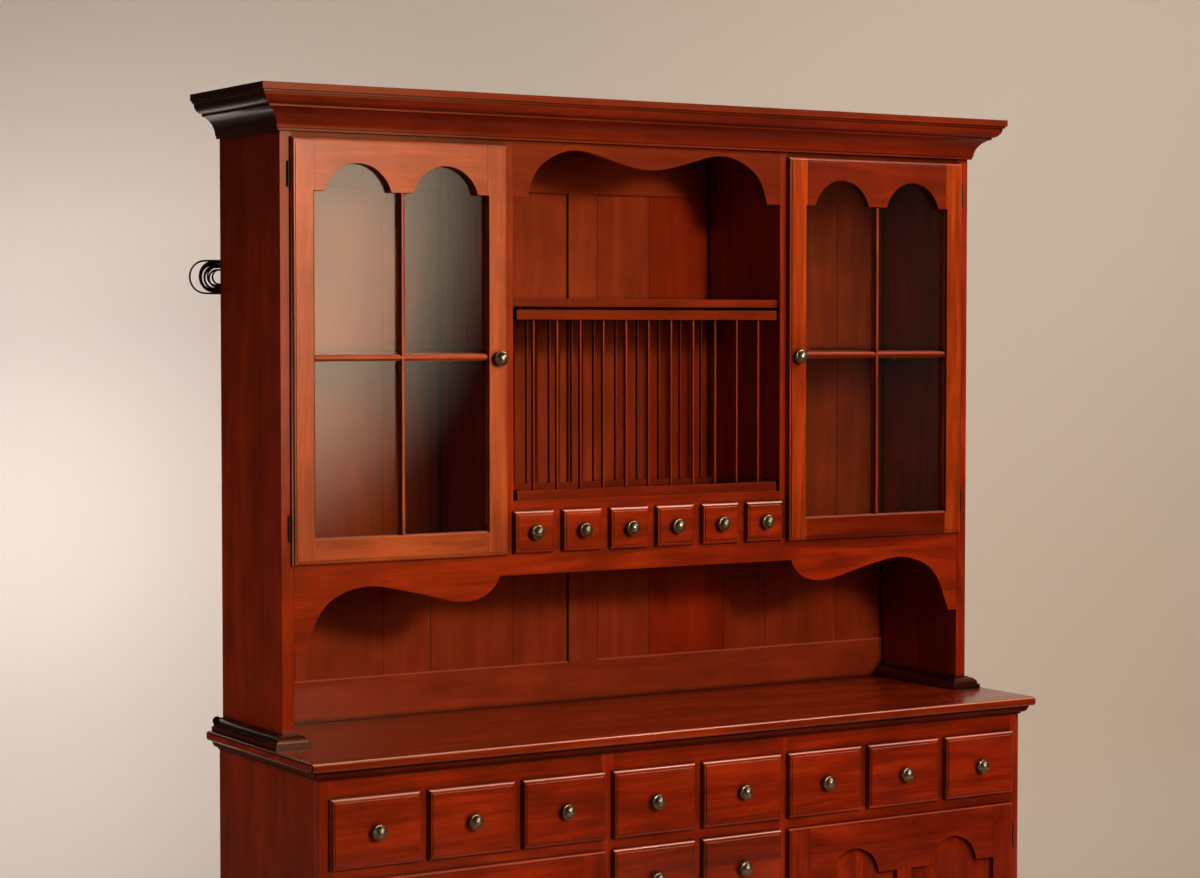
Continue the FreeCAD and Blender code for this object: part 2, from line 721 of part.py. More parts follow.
# Counter board with rounded front and end edges, and the ovolo moulding under its overhang.
slab = board("counter_slab", ("-x_base - counter_overhang", "x_base + counter_overhang"),
             ("y_base - counter_overhang", "y_back"), ("z_counter_under", "z_counter"))
node("countertop", [round_edges("counter_board", slab, mm.counter_round,
                                lambda edge: not is_at(edge, "Y", mm.y_back)
                                and not (edge.Vertexes[0].Z != edge.Vertexes[1].Z
                                         and any(abs(v.Y - mm.y_back) < 0.001 for v in edge.Vertexes)))])
tall, wide = mm.counter_mould_height, mm.counter_mould_reach
fillet_share, shoulder_share, ovolo_share = 0.22, 0.2, 0.72
mould_profile = outline((0, 0), (wide * fillet_share, 0), (wide * fillet_share, tall * shoulder_share),
                        ((wide * ovolo_share, tall * (1 - ovolo_share) + tall * shoulder_share / 2),
                         (wide * (1 - shoulder_share / 2), tall * (1 - shoulder_share))),
                        (wide, tall * (1 - shoulder_share)), (wide, tall), (0, tall), (0, 0))
node("counter_moulding", wrap("counter_mould", mould_profile, wide, mm.x_base, mm.y_base,
                              mm.z_counter_under - tall, ("base_width + 2 * counter_mould_reach",
                                                          "base_depth + counter_mould_reach")))

# Base sides, rabbeted for the back, and the face frame of stiles, rails and muntins in front of them.
base_blanks = board_pair("base_side_blank", ("x_base_inside", "x_base"), ("y_frame", "y_back"),
                         ("0", "z_counter_under"))
base_rabbets = board_pair("base_rabbet", ("x_base_inside - overrun", "x_base_inside + back_rabbet"),
                          ("y_lining", "y_back + overrun"), ("z_plinth", "z_counter_under"))
node("base_sides", [cut("base_side_" + hand, blank, [rabbet]) for hand, blank, rabbet
                    in zip(("left", "right"), base_blanks, base_rabbets)])

frame_span = ("y_base", "y_frame")
outer_stiles = board_pair("frame_outer", ("x_bay_end", "x_base"), frame_span, ("0", "z_counter_under"))
mortises = frame_mortises("panel_mortise", "x_bay_end", "y_base", PANEL_LEVELS)
frame = [cut("frame_stile_" + hand, stile, pockets)
         for hand, stile, pockets in zip(("left", "right"), outer_stiles, mortises)]
frame += board_pair("frame_inner", ("x_bank", "x_bay"), frame_span, ("z_plinth", "z_counter_under"))
bank = ("-x_bank", "x_bank")
bay = ("x_bay", "x_bay_end")
top_rail = ("z_row + row_height", "z_counter_under")
rows = [f"z_row - {number} * row_pitch" for number in range(4)]
frame.append(board("rail_bank_top", bank, frame_span, top_rail))
frame += board_pair("rail_bay_top", bay, frame_span, top_rail)
for number, level in enumerate(rows[:3]):
    frame.append(board(f"rail_bank_{number}", bank, frame_span, (level + " - row_rail", level)))
frame += board_pair("rail_bay_0", bay, frame_span, (rows[0] + " - row_rail", rows[0]))
bottom_rail = ("z_plinth", "z_base_floor")
frame.append(board("rail_bank_bottom", bank, frame_span, bottom_rail))
frame += board_pair("rail_bay_bottom", bay, frame_span, bottom_rail)
for number, level in enumerate(rows[:2]):
    frame.append(board(f"muntin_bank_{number}", ("-frame_stile / 2", "frame_stile / 2"), frame_span,
                       (level, level + " + row_height")))
muntin_starts = [f"x_bay + {number} * bay_drawer + {number - 1} * frame_stile" for number in (1, 2)]
for number, start in enumerate(muntin_starts):
    frame += board_pair(f"muntin_bay_{number}", (start, start + " + frame_stile"), frame_span,
                        (rows[0], rows[0] + " + row_height"))
node("base_face_frame", frame)

# Inside the base: floor, back, two partitions, webs that carry the drawers and dividers that guide them.
base_depth_span = ("y_frame", "y_lining")
node("base_floor", [board("base_floor_board", ("-x_base_inside", "x_base_inside"), base_depth_span,
                          ("z_base_floor - case_board", "z_base_floor"))])
node("base_back", [board("base_back_board", ("-x_base_inside - back_rabbet", "x_base_inside + back_rabbet"),
                         ("y_lining", "y_back"), ("z_plinth", "z_counter_under"))])
inner = board_pair("base_partition_board", ("x_base_partition", "x_base_partition_out"), base_depth_span,
                   ("z_base_floor", "z_counter_under"))
inner += board_pair("web_bay", ("x_base_partition_out", "x_base_inside"), base_depth_span,
                    (rows[0] + " - web_board", rows[0]))
for number, level in enumerate(rows[:3]):
    inner.append(board(f"web_bank_{number}", ("-x_base_partition", "x_base_partition"), base_depth_span,
                       (level + " - web_board", level)))
ceilings = ("z_counter_under", rows[0] + " - web_board")
for number, (level, ceiling) in enumerate(zip(rows[:2], ceilings)):
    inner.append(board(f"divider_bank_{number}", ("-drawer_divider / 2", "drawer_divider / 2"),
                       base_depth_span, (level, ceiling)))
for number, start in enumerate(muntin_starts):
    centre = start + " + frame_stile / 2"
    inner += board_pair(f"divider_bay_{number}", (centre + " - drawer_divider / 2",
                                                  centre + " + drawer_divider / 2"),
                        base_depth_span, (rows[0], "z_counter_under"))
node("base_dividers", inner)

# Plinth of three boards round the foot of the base. The front one is cut out between bracket feet.
rise, foot = mm.plinth_cut_rise, mm.x_base - mm.plinth_foot
bow_share = 1 - math.sqrt(0.5)
plinth_edge = outline(
    (-mm.x_base - mm.plinth_board, 0), (-foot, 0),
    ((-foot + rise * bow_share, rise * (1 - bow_share)), (-foot + rise, rise)), (foot - rise, rise),
    ((foot - rise * bow_share, rise * (1 - bow_share)), (foot, 0)), (mm.x_base + mm.plinth_board, 0),
    (mm.x_base + mm.plinth_board, mm.z_plinth), (-mm.x_base - mm.plinth_board, mm.z_plinth),
    (-mm.x_base - mm.plinth_board, 0))
plinth_front = extrude("plinth_front_board", sketch("plinth_outline", plinth_edge,
                                                    Vector(0, mm.y_base, 0)), Vector(0, -1, 0),
                       "plinth_board")
plinth_face = mm.y_base - mm.plinth_board
plinth = [round_edges("plinth_front", plinth_front, mm.plinth_top_round,
                      lambda edge: is_at(edge, "Y", plinth_face) and is_at(edge, "Z", mm.z_plinth))]
plinth += board_pair("plinth_side", ("x_base", "x_base + plinth_board"), ("y_base", "y_back"),
                     ("0", "z_plinth"))
node("bracket_plinth", plinth)

# Adjustable shelves rest on four pins each, in the glazed cupboards and in the base cupboards.
glazed_shelf = "door_z - muntin_drop + shelf_board / 2"
base_shelf = "z_base_floor + base_shelf_height"
shelf_places = (
    ("glazed", "x_partition", "x_inside", "y_hutch + shelf_setback", glazed_shelf),
    ("panel", "x_base_partition_out", "x_base_inside", "y_frame + shelf_setback", base_shelf))
shelves = []
pins = []
for name, low, high, front, top in shelf_places:
    shelves += board_pair(name + "_shelf", (low + " + shelf_play", high + " - shelf_play"),
                          (front, "y_lining - shelf_play"), (f"{top} - shelf_board", top))
    pin_height = f"{top} - shelf_board - shelf_pin_gap - shelf_pin_diameter / 2"
    for end, depth in (("front", front + " + shelf_pin_inset"), ("rear", "y_lining - shelf_pin_inset")):
        for wall, start in ((low, low), (high, high + " - shelf_pin_length")):
            for hand, place in (("left", f"-({start}) - shelf_pin_length"), ("right", start)):
                pins.append(rod(f"{name}_pin_{end}_{wall}_{hand}", "shelf_pin_diameter",
                                "shelf_pin_length", (place, depth, pin_height), "x"))
node("cupboard_shelves", shelves)
node("shelf_pins", pins)


# Butt hinges: the fixed leaf carries the two end knuckles and the pin, and the door's leaf carries the
# long middle knuckle. The knuckles' joints are at shares of the hinge's length.
KNUCKLE_SHARES = (0, 0.3, 0.7, 1)
WEB_SHARE = 0.62


def hinge_leaf(name, side, axis, face, level, span_numbers, depth):
    """One leaf with its knuckles, for a hinge axis beside an opening on the given side."""
    solids = []
    inner_edge = "hinge_barrel * %s" % WEB_SHARE
    plate = (f"{axis} - hinge_leaf_width", f"{axis} - {inner_edge}")
    web = (f"{axis} - {inner_edge} - hinge_leaf", axis)
    hand = (lambda span: span) if side > 0 else mirror_span
    solids.append(board(name + "_plate", hand(plate), depth, (level, level + " + hinge_length")))
    for number in span_numbers:
        low, high = (f"{level} + hinge_length * {share}" for share in KNUCKLE_SHARES[number:number + 2])
        if number == 1:
            low, high = low + " + hinge_play", high + " - hinge_play"
        solids.append(board(f"{name}_web_{number}", hand(web), depth, (low, high)))
        centre = axis if side > 0 else f"-({axis})"
        solids.append(rod(f"{name}_knuckle_{number}", "hinge_barrel", f"({high}) - ({low})",
                          (centre, f"{face} - hinge_barrel / 2 + hinge_sink", low)))
    bore = rod(name + "_bore", "hinge_pin + hinge_play", "hinge_length + 2 * overrun",
               (axis if side > 0 else f"-({axis})", f"{face} - hinge_barrel / 2 + hinge_sink",
                f"{level} - overrun"))
    return cut(name, fuse(name + "_blank", solids), [bore])


fixed_leaves = []
for name, edge, face, levels in (("glazed", "x_inside", "y_hutch", GLAZED_LEVELS),
                                 ("panel", "x_bay_end", "y_base", PANEL_LEVELS)):
    axis = f"{edge} + lip_overlap + hinge_offset"
    for hand, side in (("left", -1), ("right", 1)):
        for number, level in enumerate(levels):
            label = f"{name}_hinge_{hand}_{number}"
            fixed_leaves.append(hinge_leaf(label, side, axis, face, level, (0, 2),
                                           (face, face + " + hinge_leaf")))
            centre = axis if side > 0 else f"-({axis})"
            fixed_leaves.append(rod(label + "_pin", "hinge_pin", "hinge_length",
                                    (centre, f"{face} - hinge_barrel / 2 + hinge_sink", level)))
node("hinge_leaves_and_pins", fixed_leaves)


def door_leaf_mortises(name, width, levels):
    """Mortises for the moving leaves in the back of a lip, on the local right and left."""
    axis = f"({width}) / 2 + lip_overlap + hinge_offset"
    pairs = [board_pair(f"{name}_{number}",
                        (f"{axis} - hinge_leaf_width - hinge_play", f"{axis} + overrun"),
                        ("-lip_gap - hinge_leaf", "-lip_gap + overrun"),
                        (f"{level} - hinge_play", f"{level} + hinge_length + hinge_play"))
             for number, level in enumerate(levels)]
    keep = board_pair(name + "_keep", ("0", f"({width}) / 2 - front_clearance"), ("-lip_gap", "tongue_depth"),
                      ("-door_opening_height", "door_opening_height"))
    return [[cut(f"{name}_pocket_{hand}_{number}", pair[index], [keep[index]])
             for number, pair in enumerate(pairs)] for index, hand in enumerate(("left", "right"))]


def door_hardware(label, side, width, levels, knob_at, at):
    """Knob and moving hinge leaves of a door, which swings about its outer edge."""
    axis = f"({width}) / 2 + lip_overlap + hinge_offset"
    leaves = [hinge_leaf(f"{label}_leaf_{number}", side, axis, "0", level, (1,),
                         ("-lip_gap - hinge_leaf", "-lip_gap")) for number, level in enumerate(levels)]
    handle = knob(label + "_knob", "knob_diameter", knob_at)
    node(label + "_hardware", leaves + [handle], at)


# Glazed doors: stiles, a bottom rail and a top rail cut to two round arches, with a cross of muntins in
# front of one pane that lies in a rabbet behind. Stiles, bottom rail and muntins have bevelled arrises,
# and the cross bars are coped over the upright's bevels.
glazed = lipped_front("glazed_blank", "door_width", "door_opening_height", "lip_overlap")
door_half = "(door_width / 2 + lip_overlap)"
door_tall = "(door_opening_height / 2 + lip_overlap)"
sight = f"({door_half} - glazed_stile)"
sill = f"(-{door_tall} + glazed_bottom_rail)"
shoulder = f"({door_tall} - glazed_top_rail)"
arch_top = f"({door_tall} - arch_top_margin)"
pane_width = (f"-{sight} - glass_margin", f"{sight} + glass_margin")
pane_height = (f"{sill} - glass_margin", f"{arch_top} + glass_margin")
rabbet = board("glass_rabbet", pane_width, ("glass_seat", "tongue_depth + overrun"), pane_height)
door_face = "-lip_gap - lip_thickness - field_rise"
arris = flare("glazed_arris", (f"-{sight}", sight), (sill, shoulder), door_face, "stile_chamfer",
              ("left", "right", "below"))
glazed = cut("glazed_frame_blank", glazed, [rabbet, arris])
through = ("-lip_gap - lip_thickness - field_rise - overrun", "tongue_depth + overrun")
past_top = (f"-{door_tall} - overrun", f"{door_tall} + overrun")
stile_slabs = board_pair("glazed_stile_slab", (sight, f"{door_half} + overrun"), through, past_top)
stiles = [common("glazed_stile_" + hand, glazed, slab)
          for hand, slab in zip(("left", "right"), stile_slabs)]
rail_span = (f"-{sight}", sight)
bottom_rail_piece = common("glazed_rail_bottom", glazed,
                           board("glazed_bottom_slab", rail_span, through, (past_top[0], sill)))
top_rail_piece = common("glazed_rail_blank", glazed,
                        board("glazed_top_slab", rail_span, through, (shoulder, past_top[1])))
arches = [rod(f"arch_{hand}", "2 * arch_radius", f"({through[1]}) - ({through[0]})",
              (f"{sign} * arch_offset", through[0], f"{arch_top} - arch_radius"), "y")
          for hand, sign in (("left", -1), ("right", 1))]
top_rail_piece = cut("glazed_rail_top", top_rail_piece, arches)
bar_depth = ("-lip_gap - lip_thickness - field_rise + muntin_setback", "glass_seat")
bar = ("-muntin_width / 2", "muntin_width / 2")
cross = ("-muntin_drop - muntin_width / 2", "-muntin_drop + muntin_width / 2")
bar_face = front_face() + mm.muntin_setback
upright = bevel_edges("muntin_upright", board("muntin_upright_bar", bar, bar_depth, (sill, shoulder)),
                      mm.muntin_chamfer, lambda edge: is_at(edge, "Y", bar_face) and len({
                          round(vertex.X, 3) for vertex in edge.Vertexes}) == 1)
muntins = [upright]
for hand, bar_blank in zip(("left", "right"), board_pair("muntin_cross_bar", ("0", sight), bar_depth, cross)):
    bevelled = bevel_edges(f"muntin_cross_bevelled_{hand}", bar_blank, mm.muntin_chamfer,
                           lambda edge: is_at(edge, "Y", bar_face) and len({
                               round(vertex.Z, 3) for vertex in edge.Vertexes}) == 1)
    muntins.append(cut("muntin_cross_" + hand, bevelled, [upright]))
pane = board("pane", (f"{pane_width[0]} + glass_play", f"{pane_width[1]} - glass_play"),
             ("glass_seat", "glass_seat + glass_thickness"),
             (f"{pane_height[0]} + glass_play", f"{pane_height[1]} - glass_play"))
levels = hinge_levels("0", "door_opening_height")
mortises = door_leaf_mortises("glazed_leaf_mortise", "door_width", levels)
for hand, side in (("left", -1), ("right", 1)):
    index = 0 if side < 0 else 1
    place = (f"{side} * door_x", "y_hutch", "door_z")
    hung = cut(f"glazed_hung_stile_{hand}", stiles[index], mortises[index])
    node(f"glazed_door_{hand}_frame", [hung, stiles[1 - index], bottom_rail_piece, top_rail_piece] + muntins,
         place)
    node(f"glazed_door_{hand}_glass", [pane], place)
    knob_place = Vector(-side * (mm.door_width / 2 + mm.lip_overlap - mm.glazed_stile / 2), front_face(),
                        -mm.glazed_knob_drop)
    door_hardware(f"glazed_door_{hand}", side, "door_width", levels, knob_place, place)

# Panelled base doors: stiles, rails and a middle stile round two raised panels with tombstone tops.
panelled = lipped_front("panel_blank", "bay_width", "panel_door_height", "lip_overlap")
door_half = "(bay_width / 2 + lip_overlap)"
door_tall = "(panel_door_height / 2 + lip_overlap)"
sight = f"({door_half} - panel_stile)"
sill = f"(-{door_tall} + panel_bottom_rail)"
shoulder = f"({door_tall} - panel_top_rail)"
panel_x = f"({sight} + panel_mid_stile / 2) / 2"
arch_level = f"({door_tall} - panel_arch_margin - panel_arch_radius)"
groove_depth = ("-lip_gap - lip_thickness - field_rise + panel_plate_setback - panel_play / 2",
                "-lip_gap - lip_thickness - field_rise + panel_plate_setback + panel_plate + panel_play / 2")
past_top = (f"-{door_tall} - overrun", f"{door_tall} + overrun")


def tombstone(name, grow, depth):
    """A panel shape with square shoulders and a round head, grown past the sight line, on both sides."""
    pairs = []
    bodies = board_pair(name + "_body", (f"panel_mid_stile / 2 - ({grow})", f"{sight} + {grow}"), depth,
                        (f"{sill} - ({grow})", f"{shoulder} + {grow}"))
    for body, sign in zip(bodies, (-1, 1)):
        head = rod(f"{name}_head_{sign + 1}", f"2 * (panel_arch_radius + {grow})",
                   f"({depth[1]}) - ({depth[0]})", (f"{sign} * {panel_x}", depth[0], arch_level), "y")
        pairs.append(fuse(f"{name}_{sign + 1}", [body, head]))
    return pairs


grooves = tombstone("panel_groove_cut", "panel_groove", groove_depth)
panelled = cut("panel_frame_blank", panelled, grooves)
stile_slabs = board_pair("panel_stile_slab", (sight, f"{door_half} + overrun"), through, past_top)
stiles = [common("panel_stile_" + hand, panelled, slab) for hand, slab in zip(("left", "right"), stile_slabs)]
rail_span = (f"-{sight}", sight)
bottom_rail_piece = common("panel_rail_bottom", panelled,
                           board("panel_bottom_slab", rail_span, through, (past_top[0], sill)))
mid_stile = common("panel_stile_mid", panelled,
                   board("panel_mid_slab", ("-panel_mid_stile / 2", "panel_mid_stile / 2"), through,
                         (sill, shoulder)))
top_rail_piece = common("panel_rail_blank", panelled,
                        board("panel_top_slab", rail_span, through, (shoulder, past_top[1])))
heads = [rod(f"panel_arch_{sign + 1}", "2 * panel_arch_radius", f"({through[1]}) - ({through[0]})",
             (f"{sign} * {panel_x}", through[0], arch_level), "y") for sign in (-1, 1)]
top_rail_piece = cut("panel_rail_top", top_rail_piece, heads)
plate_depth = ("-lip_gap - lip_thickness - field_rise + panel_plate_setback",
               "-lip_gap - lip_thickness - field_rise + panel_plate_setback + panel_plate")
plates = tombstone("panel_plate_solid", "panel_groove - panel_play", plate_depth)


def tombstone_edge(centre, inset):
    """The panel's visible outline, drawn in by an inset."""
    half = mm.bay_width / 2 + mm.lip_overlap
    tall = mm.panel_door_height / 2 + mm.lip_overlap
    wide = (half - mm.panel_stile - mm.panel_mid_stile / 2) / 2 - inset
    low = -tall + mm.panel_bottom_rail + inset
    high = tall - mm.panel_top_rail - inset
    radius = mm.panel_arch_radius - inset
    level = tall - mm.panel_arch_margin - mm.panel_arch_radius
    chord = math.sqrt(radius ** 2 - (high - level) ** 2)
    return outline((centre - wide, low), (centre + wide, low), (centre + wide, high), (centre + chord, high),
                   ((centre, level + radius), (centre - chord, high)), (centre - wide, high),
                   (centre - wide, low))


raised = []
plate_face = front_face() + mm.panel_plate_setback
for plate, sign in zip(plates, (-1, 1)):
    centre = sign * (mm.bay_width / 2 + mm.lip_overlap - mm.panel_stile + mm.panel_mid_stile / 2) / 2
    wires = [sketch(f"panel_{name}_{sign + 1}", tombstone_edge(centre, inset), Vector(0, depth, 0))
             for name, inset, depth in (("edge", mm.panel_edge_gap, plate_face),
                                        ("field", mm.panel_bevel, plate_face - mm.panel_raise))]
    bevel = doc.addObject("Part::Loft", f"panel_bevel_{sign + 1}")
    bevel.Sections = wires
    bevel.Solid = True
    bevel.Ruled = True
    raised.append(fuse(f"raised_panel_{sign + 1}", [plate, bevel]))

levels = hinge_levels("0", "panel_door_height")
mortises = door_leaf_mortises("panel_leaf_mortise", "bay_width", levels)
for hand, side in (("left", -1), ("right", 1)):
    index = 0 if side < 0 else 1
    place = (f"{side} * bay_x", "y_base", "panel_door_z")
    hung = cut(f"panel_hung_stile_{hand}", stiles[index], mortises[index])
    node(f"panel_door_{hand}_frame", [hung, stiles[1 - index], mid_stile, bottom_rail_piece, top_rail_piece],
         place)
    node(f"panel_door_{hand}_panels", raised, place)
    knob_place = Vector(-side * (mm.bay_width / 2 + mm.lip_overlap - mm.panel_stile / 2), front_face(),
                        mm.panel_knob_lift)
    door_hardware(f"panel_door_{hand}", side, "bay_width", levels, knob_place, place)


# Drawers: a lipped front, two sides, a back, a bottom and one or two knobs, made once for each size.
def drawer(name, width, height, overlap, depth, knob_size, knob_offsets=(0,)):
    """The pieces of a drawer about the middle of its opening."""
    half = f"({width}) / 2 - front_clearance"
    low = f"-({height}) / 2 + drawer_run_gap"
    high = f"({height}) / 2 - drawer_head_room"
    length = ("tongue_depth", f"tongue_depth + {depth}")
    inside = f"{half} - drawer_side"
    pieces = [lipped_front(name + "_front", width, height, overlap)]
    pieces += board_pair(name + "_side", (inside, half), length, (low, high))
    pieces.append(board(name + "_back", (f"-({inside})", inside), (f"{length[1]} - drawer_side", length[1]),
                        (low, high)))
    pieces.append(board(name + "_bottom", (f"-({inside})", inside), (length[0], f"{length[1]} - drawer_side"),
                        (f"{low} + drawer_bottom_lift", f"{low} + drawer_bottom_lift + drawer_bottom")))
    pieces += [knob(f"{name}_knob_{number}", knob_size, Vector(offset, front_face(), 0))
               for number, offset in enumerate(knob_offsets)]
    return pieces


spice = drawer("spice", "spice_width", "spice_opening_height", "spice_overlap", "spice_box_depth",
               "spice_knob_diameter")
for number in range(6):
    node(f"spice_drawer_{number + 1}", spice,
         (f"-x_centre + spice_width / 2 + {number} * (spice_width + spice_divider)", "y_hutch",
          "z_floor + spice_opening_height / 2"))

bay_size = drawer("bay", "bay_drawer", "row_height", "lip_overlap", "base_box_depth", "knob_diameter")
bank_size = drawer("bank", "bank_drawer", "row_height", "lip_overlap", "base_box_depth", "knob_diameter")
top_places = [(bay_size, f"-x_bay_end + bay_drawer / 2 + {number} * (bay_drawer + frame_stile)")
              for number in range(3)]
top_places += [(bank_size, f"{sign} * (bank_drawer + frame_stile) / 2") for sign in (-1, 1)]
top_places += [(bay_size, f"x_bay + bay_drawer / 2 + {number} * (bay_drawer + frame_stile)")
               for number in range(3)]
for number, (pieces, across) in enumerate(top_places, 1):
    node(f"top_drawer_{number}", pieces, (across, "y_base", f"{rows[0]} + row_height / 2"))
for hand, sign in (("left", -1), ("right", 1)):
    node(f"second_drawer_{hand}", bank_size, (f"{sign} * (bank_drawer + frame_stile) / 2", "y_base",
                                              f"{rows[1]} + row_height / 2"))
wide_knob = (mm.bank_drawer + mm.frame_stile) / 2
wide_size = drawer("wide", "base_centre_width", "row_height", "lip_overlap", "base_box_depth",
                   "knob_diameter", (-wide_knob, wide_knob))
for name, level in (("third_drawer", rows[2]), ("fourth_drawer", rows[3])):
    node(name, wide_size, ("0", "y_base", f"{level} + row_height / 2"))

# A round lamp under the ceiling of each glazed cupboard, and behind it the gland of its lead.
lamps = []
for hand, sign in (("left", -1), ("right", 1)):
    middle = "y_hutch + hutch_depth / 2"
    lamps.append(rod(f"lamp_{hand}", "lamp_diameter", "lamp_height",
                     (f"{sign} * door_x", middle, "z_ceiling - lamp_height")))
    lamps.append(rod(f"lens_{hand}", "lens_diameter", "lens_height",
                     (f"{sign} * door_x", middle, "z_ceiling - lamp_height - lens_height")))
node("cupboard_lamps", lamps)
glands = []
for hand, sign in (("left", -1), ("right", 1)):
    across = f"{sign} * (x_hutch - gland_inset)"
    level = "z_cornice - gland_drop"
    block = board(f"gland_block_{hand}", (f"{across} - gland_width / 2", f"{across} + gland_width / 2"),
                  ("y_back", "y_back + gland_depth"), (level, level + " + gland_height"))
    relief = doc.addObject("Part::Cone", f"gland_relief_{hand}")
    relief.setExpression("Radius1", bind("gland_tip_diameter / 2"))
    relief.setExpression("Radius2", bind("gland_root_diameter / 2"))
    relief.setExpression("Height", bind("gland_taper"))
    for letter, text in zip("xyz", (across, "y_back + cord_standoff", f"{level} - gland_taper")):
        relief.setExpression("Placement.Base." + letter, bind(text))
    glands.append(fuse(f"gland_{hand}", [block, relief]))
node("cord_glands", glands)

# The left lamp's lead hangs from its gland behind the hutch, along points in shares of its reach to the
# left and of its drop, and runs on into a coil on a peg. Places are given from the gland's lower end.
LEAD_SHARES = ((0, 0), (0, 0.21), (0.05, 0.42), (0.11, 0.62), (0.25, 0.81), (0.50, 0.955), (0.76, 1), (1, 1))
COIL_TURNS = 5
COIL_SLACK_SHARES = (0.3, 0.65, 0.45)
coil_left = -mm.coil_inset
coil_right = coil_left + mm.coil_run
coil_neck = coil_left + (COIL_TURNS - 1) * mm.coil_fan
coil_level = -mm.lead_drop - mm.coil_radius
coil_inner = mm.coil_radius - (COIL_TURNS - 1) * mm.cord_pitch
lead_y = mm.y_back + mm.cord_standoff
outer_y = lead_y + mm.cord_pitch
lead_level = mm.z_cornice - mm.gland_drop - mm.gland_taper - mm.cord_gap
lead_start = Vector(mm.gland_inset - mm.x_hutch, 0, lead_level)


def cord_point(across, height, depth=lead_y):
    """A point behind the hutch."""
    return lead_start + Vector(across, depth, height)


def rounded_route(points):
    """Straight runs joined by the largest even arcs, and the radius of each arc."""
    edges, radii = [], []
    here = points[0]
    for before, corner, after in zip(points, points[1:], points[2:]):
        back, ahead = before - corner, after - corner
        turn = math.pi - back.getAngle(ahead)
        setback = 0.45 * min(back.Length, ahead.Length)
        radii.append(setback / math.tan(turn / 2))
        start = corner + back.normalize() * setback
        end = corner + ahead.normalize() * setback
        toward = (back + ahead).normalize()
        bulge = setback / math.tan(turn / 2) * (1 / math.cos(turn / 2) - 1)
        edges += [Part.LineSegment(here, start), Part.Arc(start, corner + toward * bulge, end)]
        here = end
    edges.append(Part.LineSegment(here, points[-1]))
    return edges, radii


def tube(label, edges):
    """A round cord along a path of tangent lines and arcs, checked by its volume."""
    path = Part.Wire([edge.toShape() for edge in edges])
    start = path.Edges[0]
    heading = start.tangentAt(start.FirstParameter)
    ring = Part.Wire(Part.makeCircle(mm.cord_diameter / 2, start.valueAt(start.FirstParameter), heading))
    solid = path.makePipeShell([ring], True, False)
    ratio = solid.Volume / (math.pi * mm.cord_diameter ** 2 / 4 * path.Length)
    print(f"{label}: length {path.Length:.1f}, volume over section times length {ratio:.4f}")
    feature = doc.addObject("Part::Feature", label + "_tube")
    feature.Shape = solid
    return feature, path


lead_edges, lead_radii = rounded_route([cord_point(-mm.lead_reach * across, -mm.lead_drop * drop)
                                        for across, drop in LEAD_SHARES])
print("lead radii", [round(radius, 1) for radius in lead_radii])
node("lamp_lead", [tube("lamp_lead", lead_edges)[0]])


def half_turn(side, centre_x, top, bottom, depth):
    """A half turn of the coil from its top run to its bottom run, or back up on the right."""
    radius = (top - bottom) / 2
    middle = cord_point(centre_x + side * radius, (top + bottom) / 2, depth)
    ends = cord_point(centre_x, top, depth), cord_point(centre_x, bottom, depth)
    return Part.Arc(ends[0], middle, ends[1]) if side < 0 else Part.Arc(ends[1], middle, ends[0])


def straight(from_x, to_x, height, depth):
    """A run of the coil."""
    return Part.LineSegment(cord_point(from_x, height, depth), cord_point(to_x, height, depth))


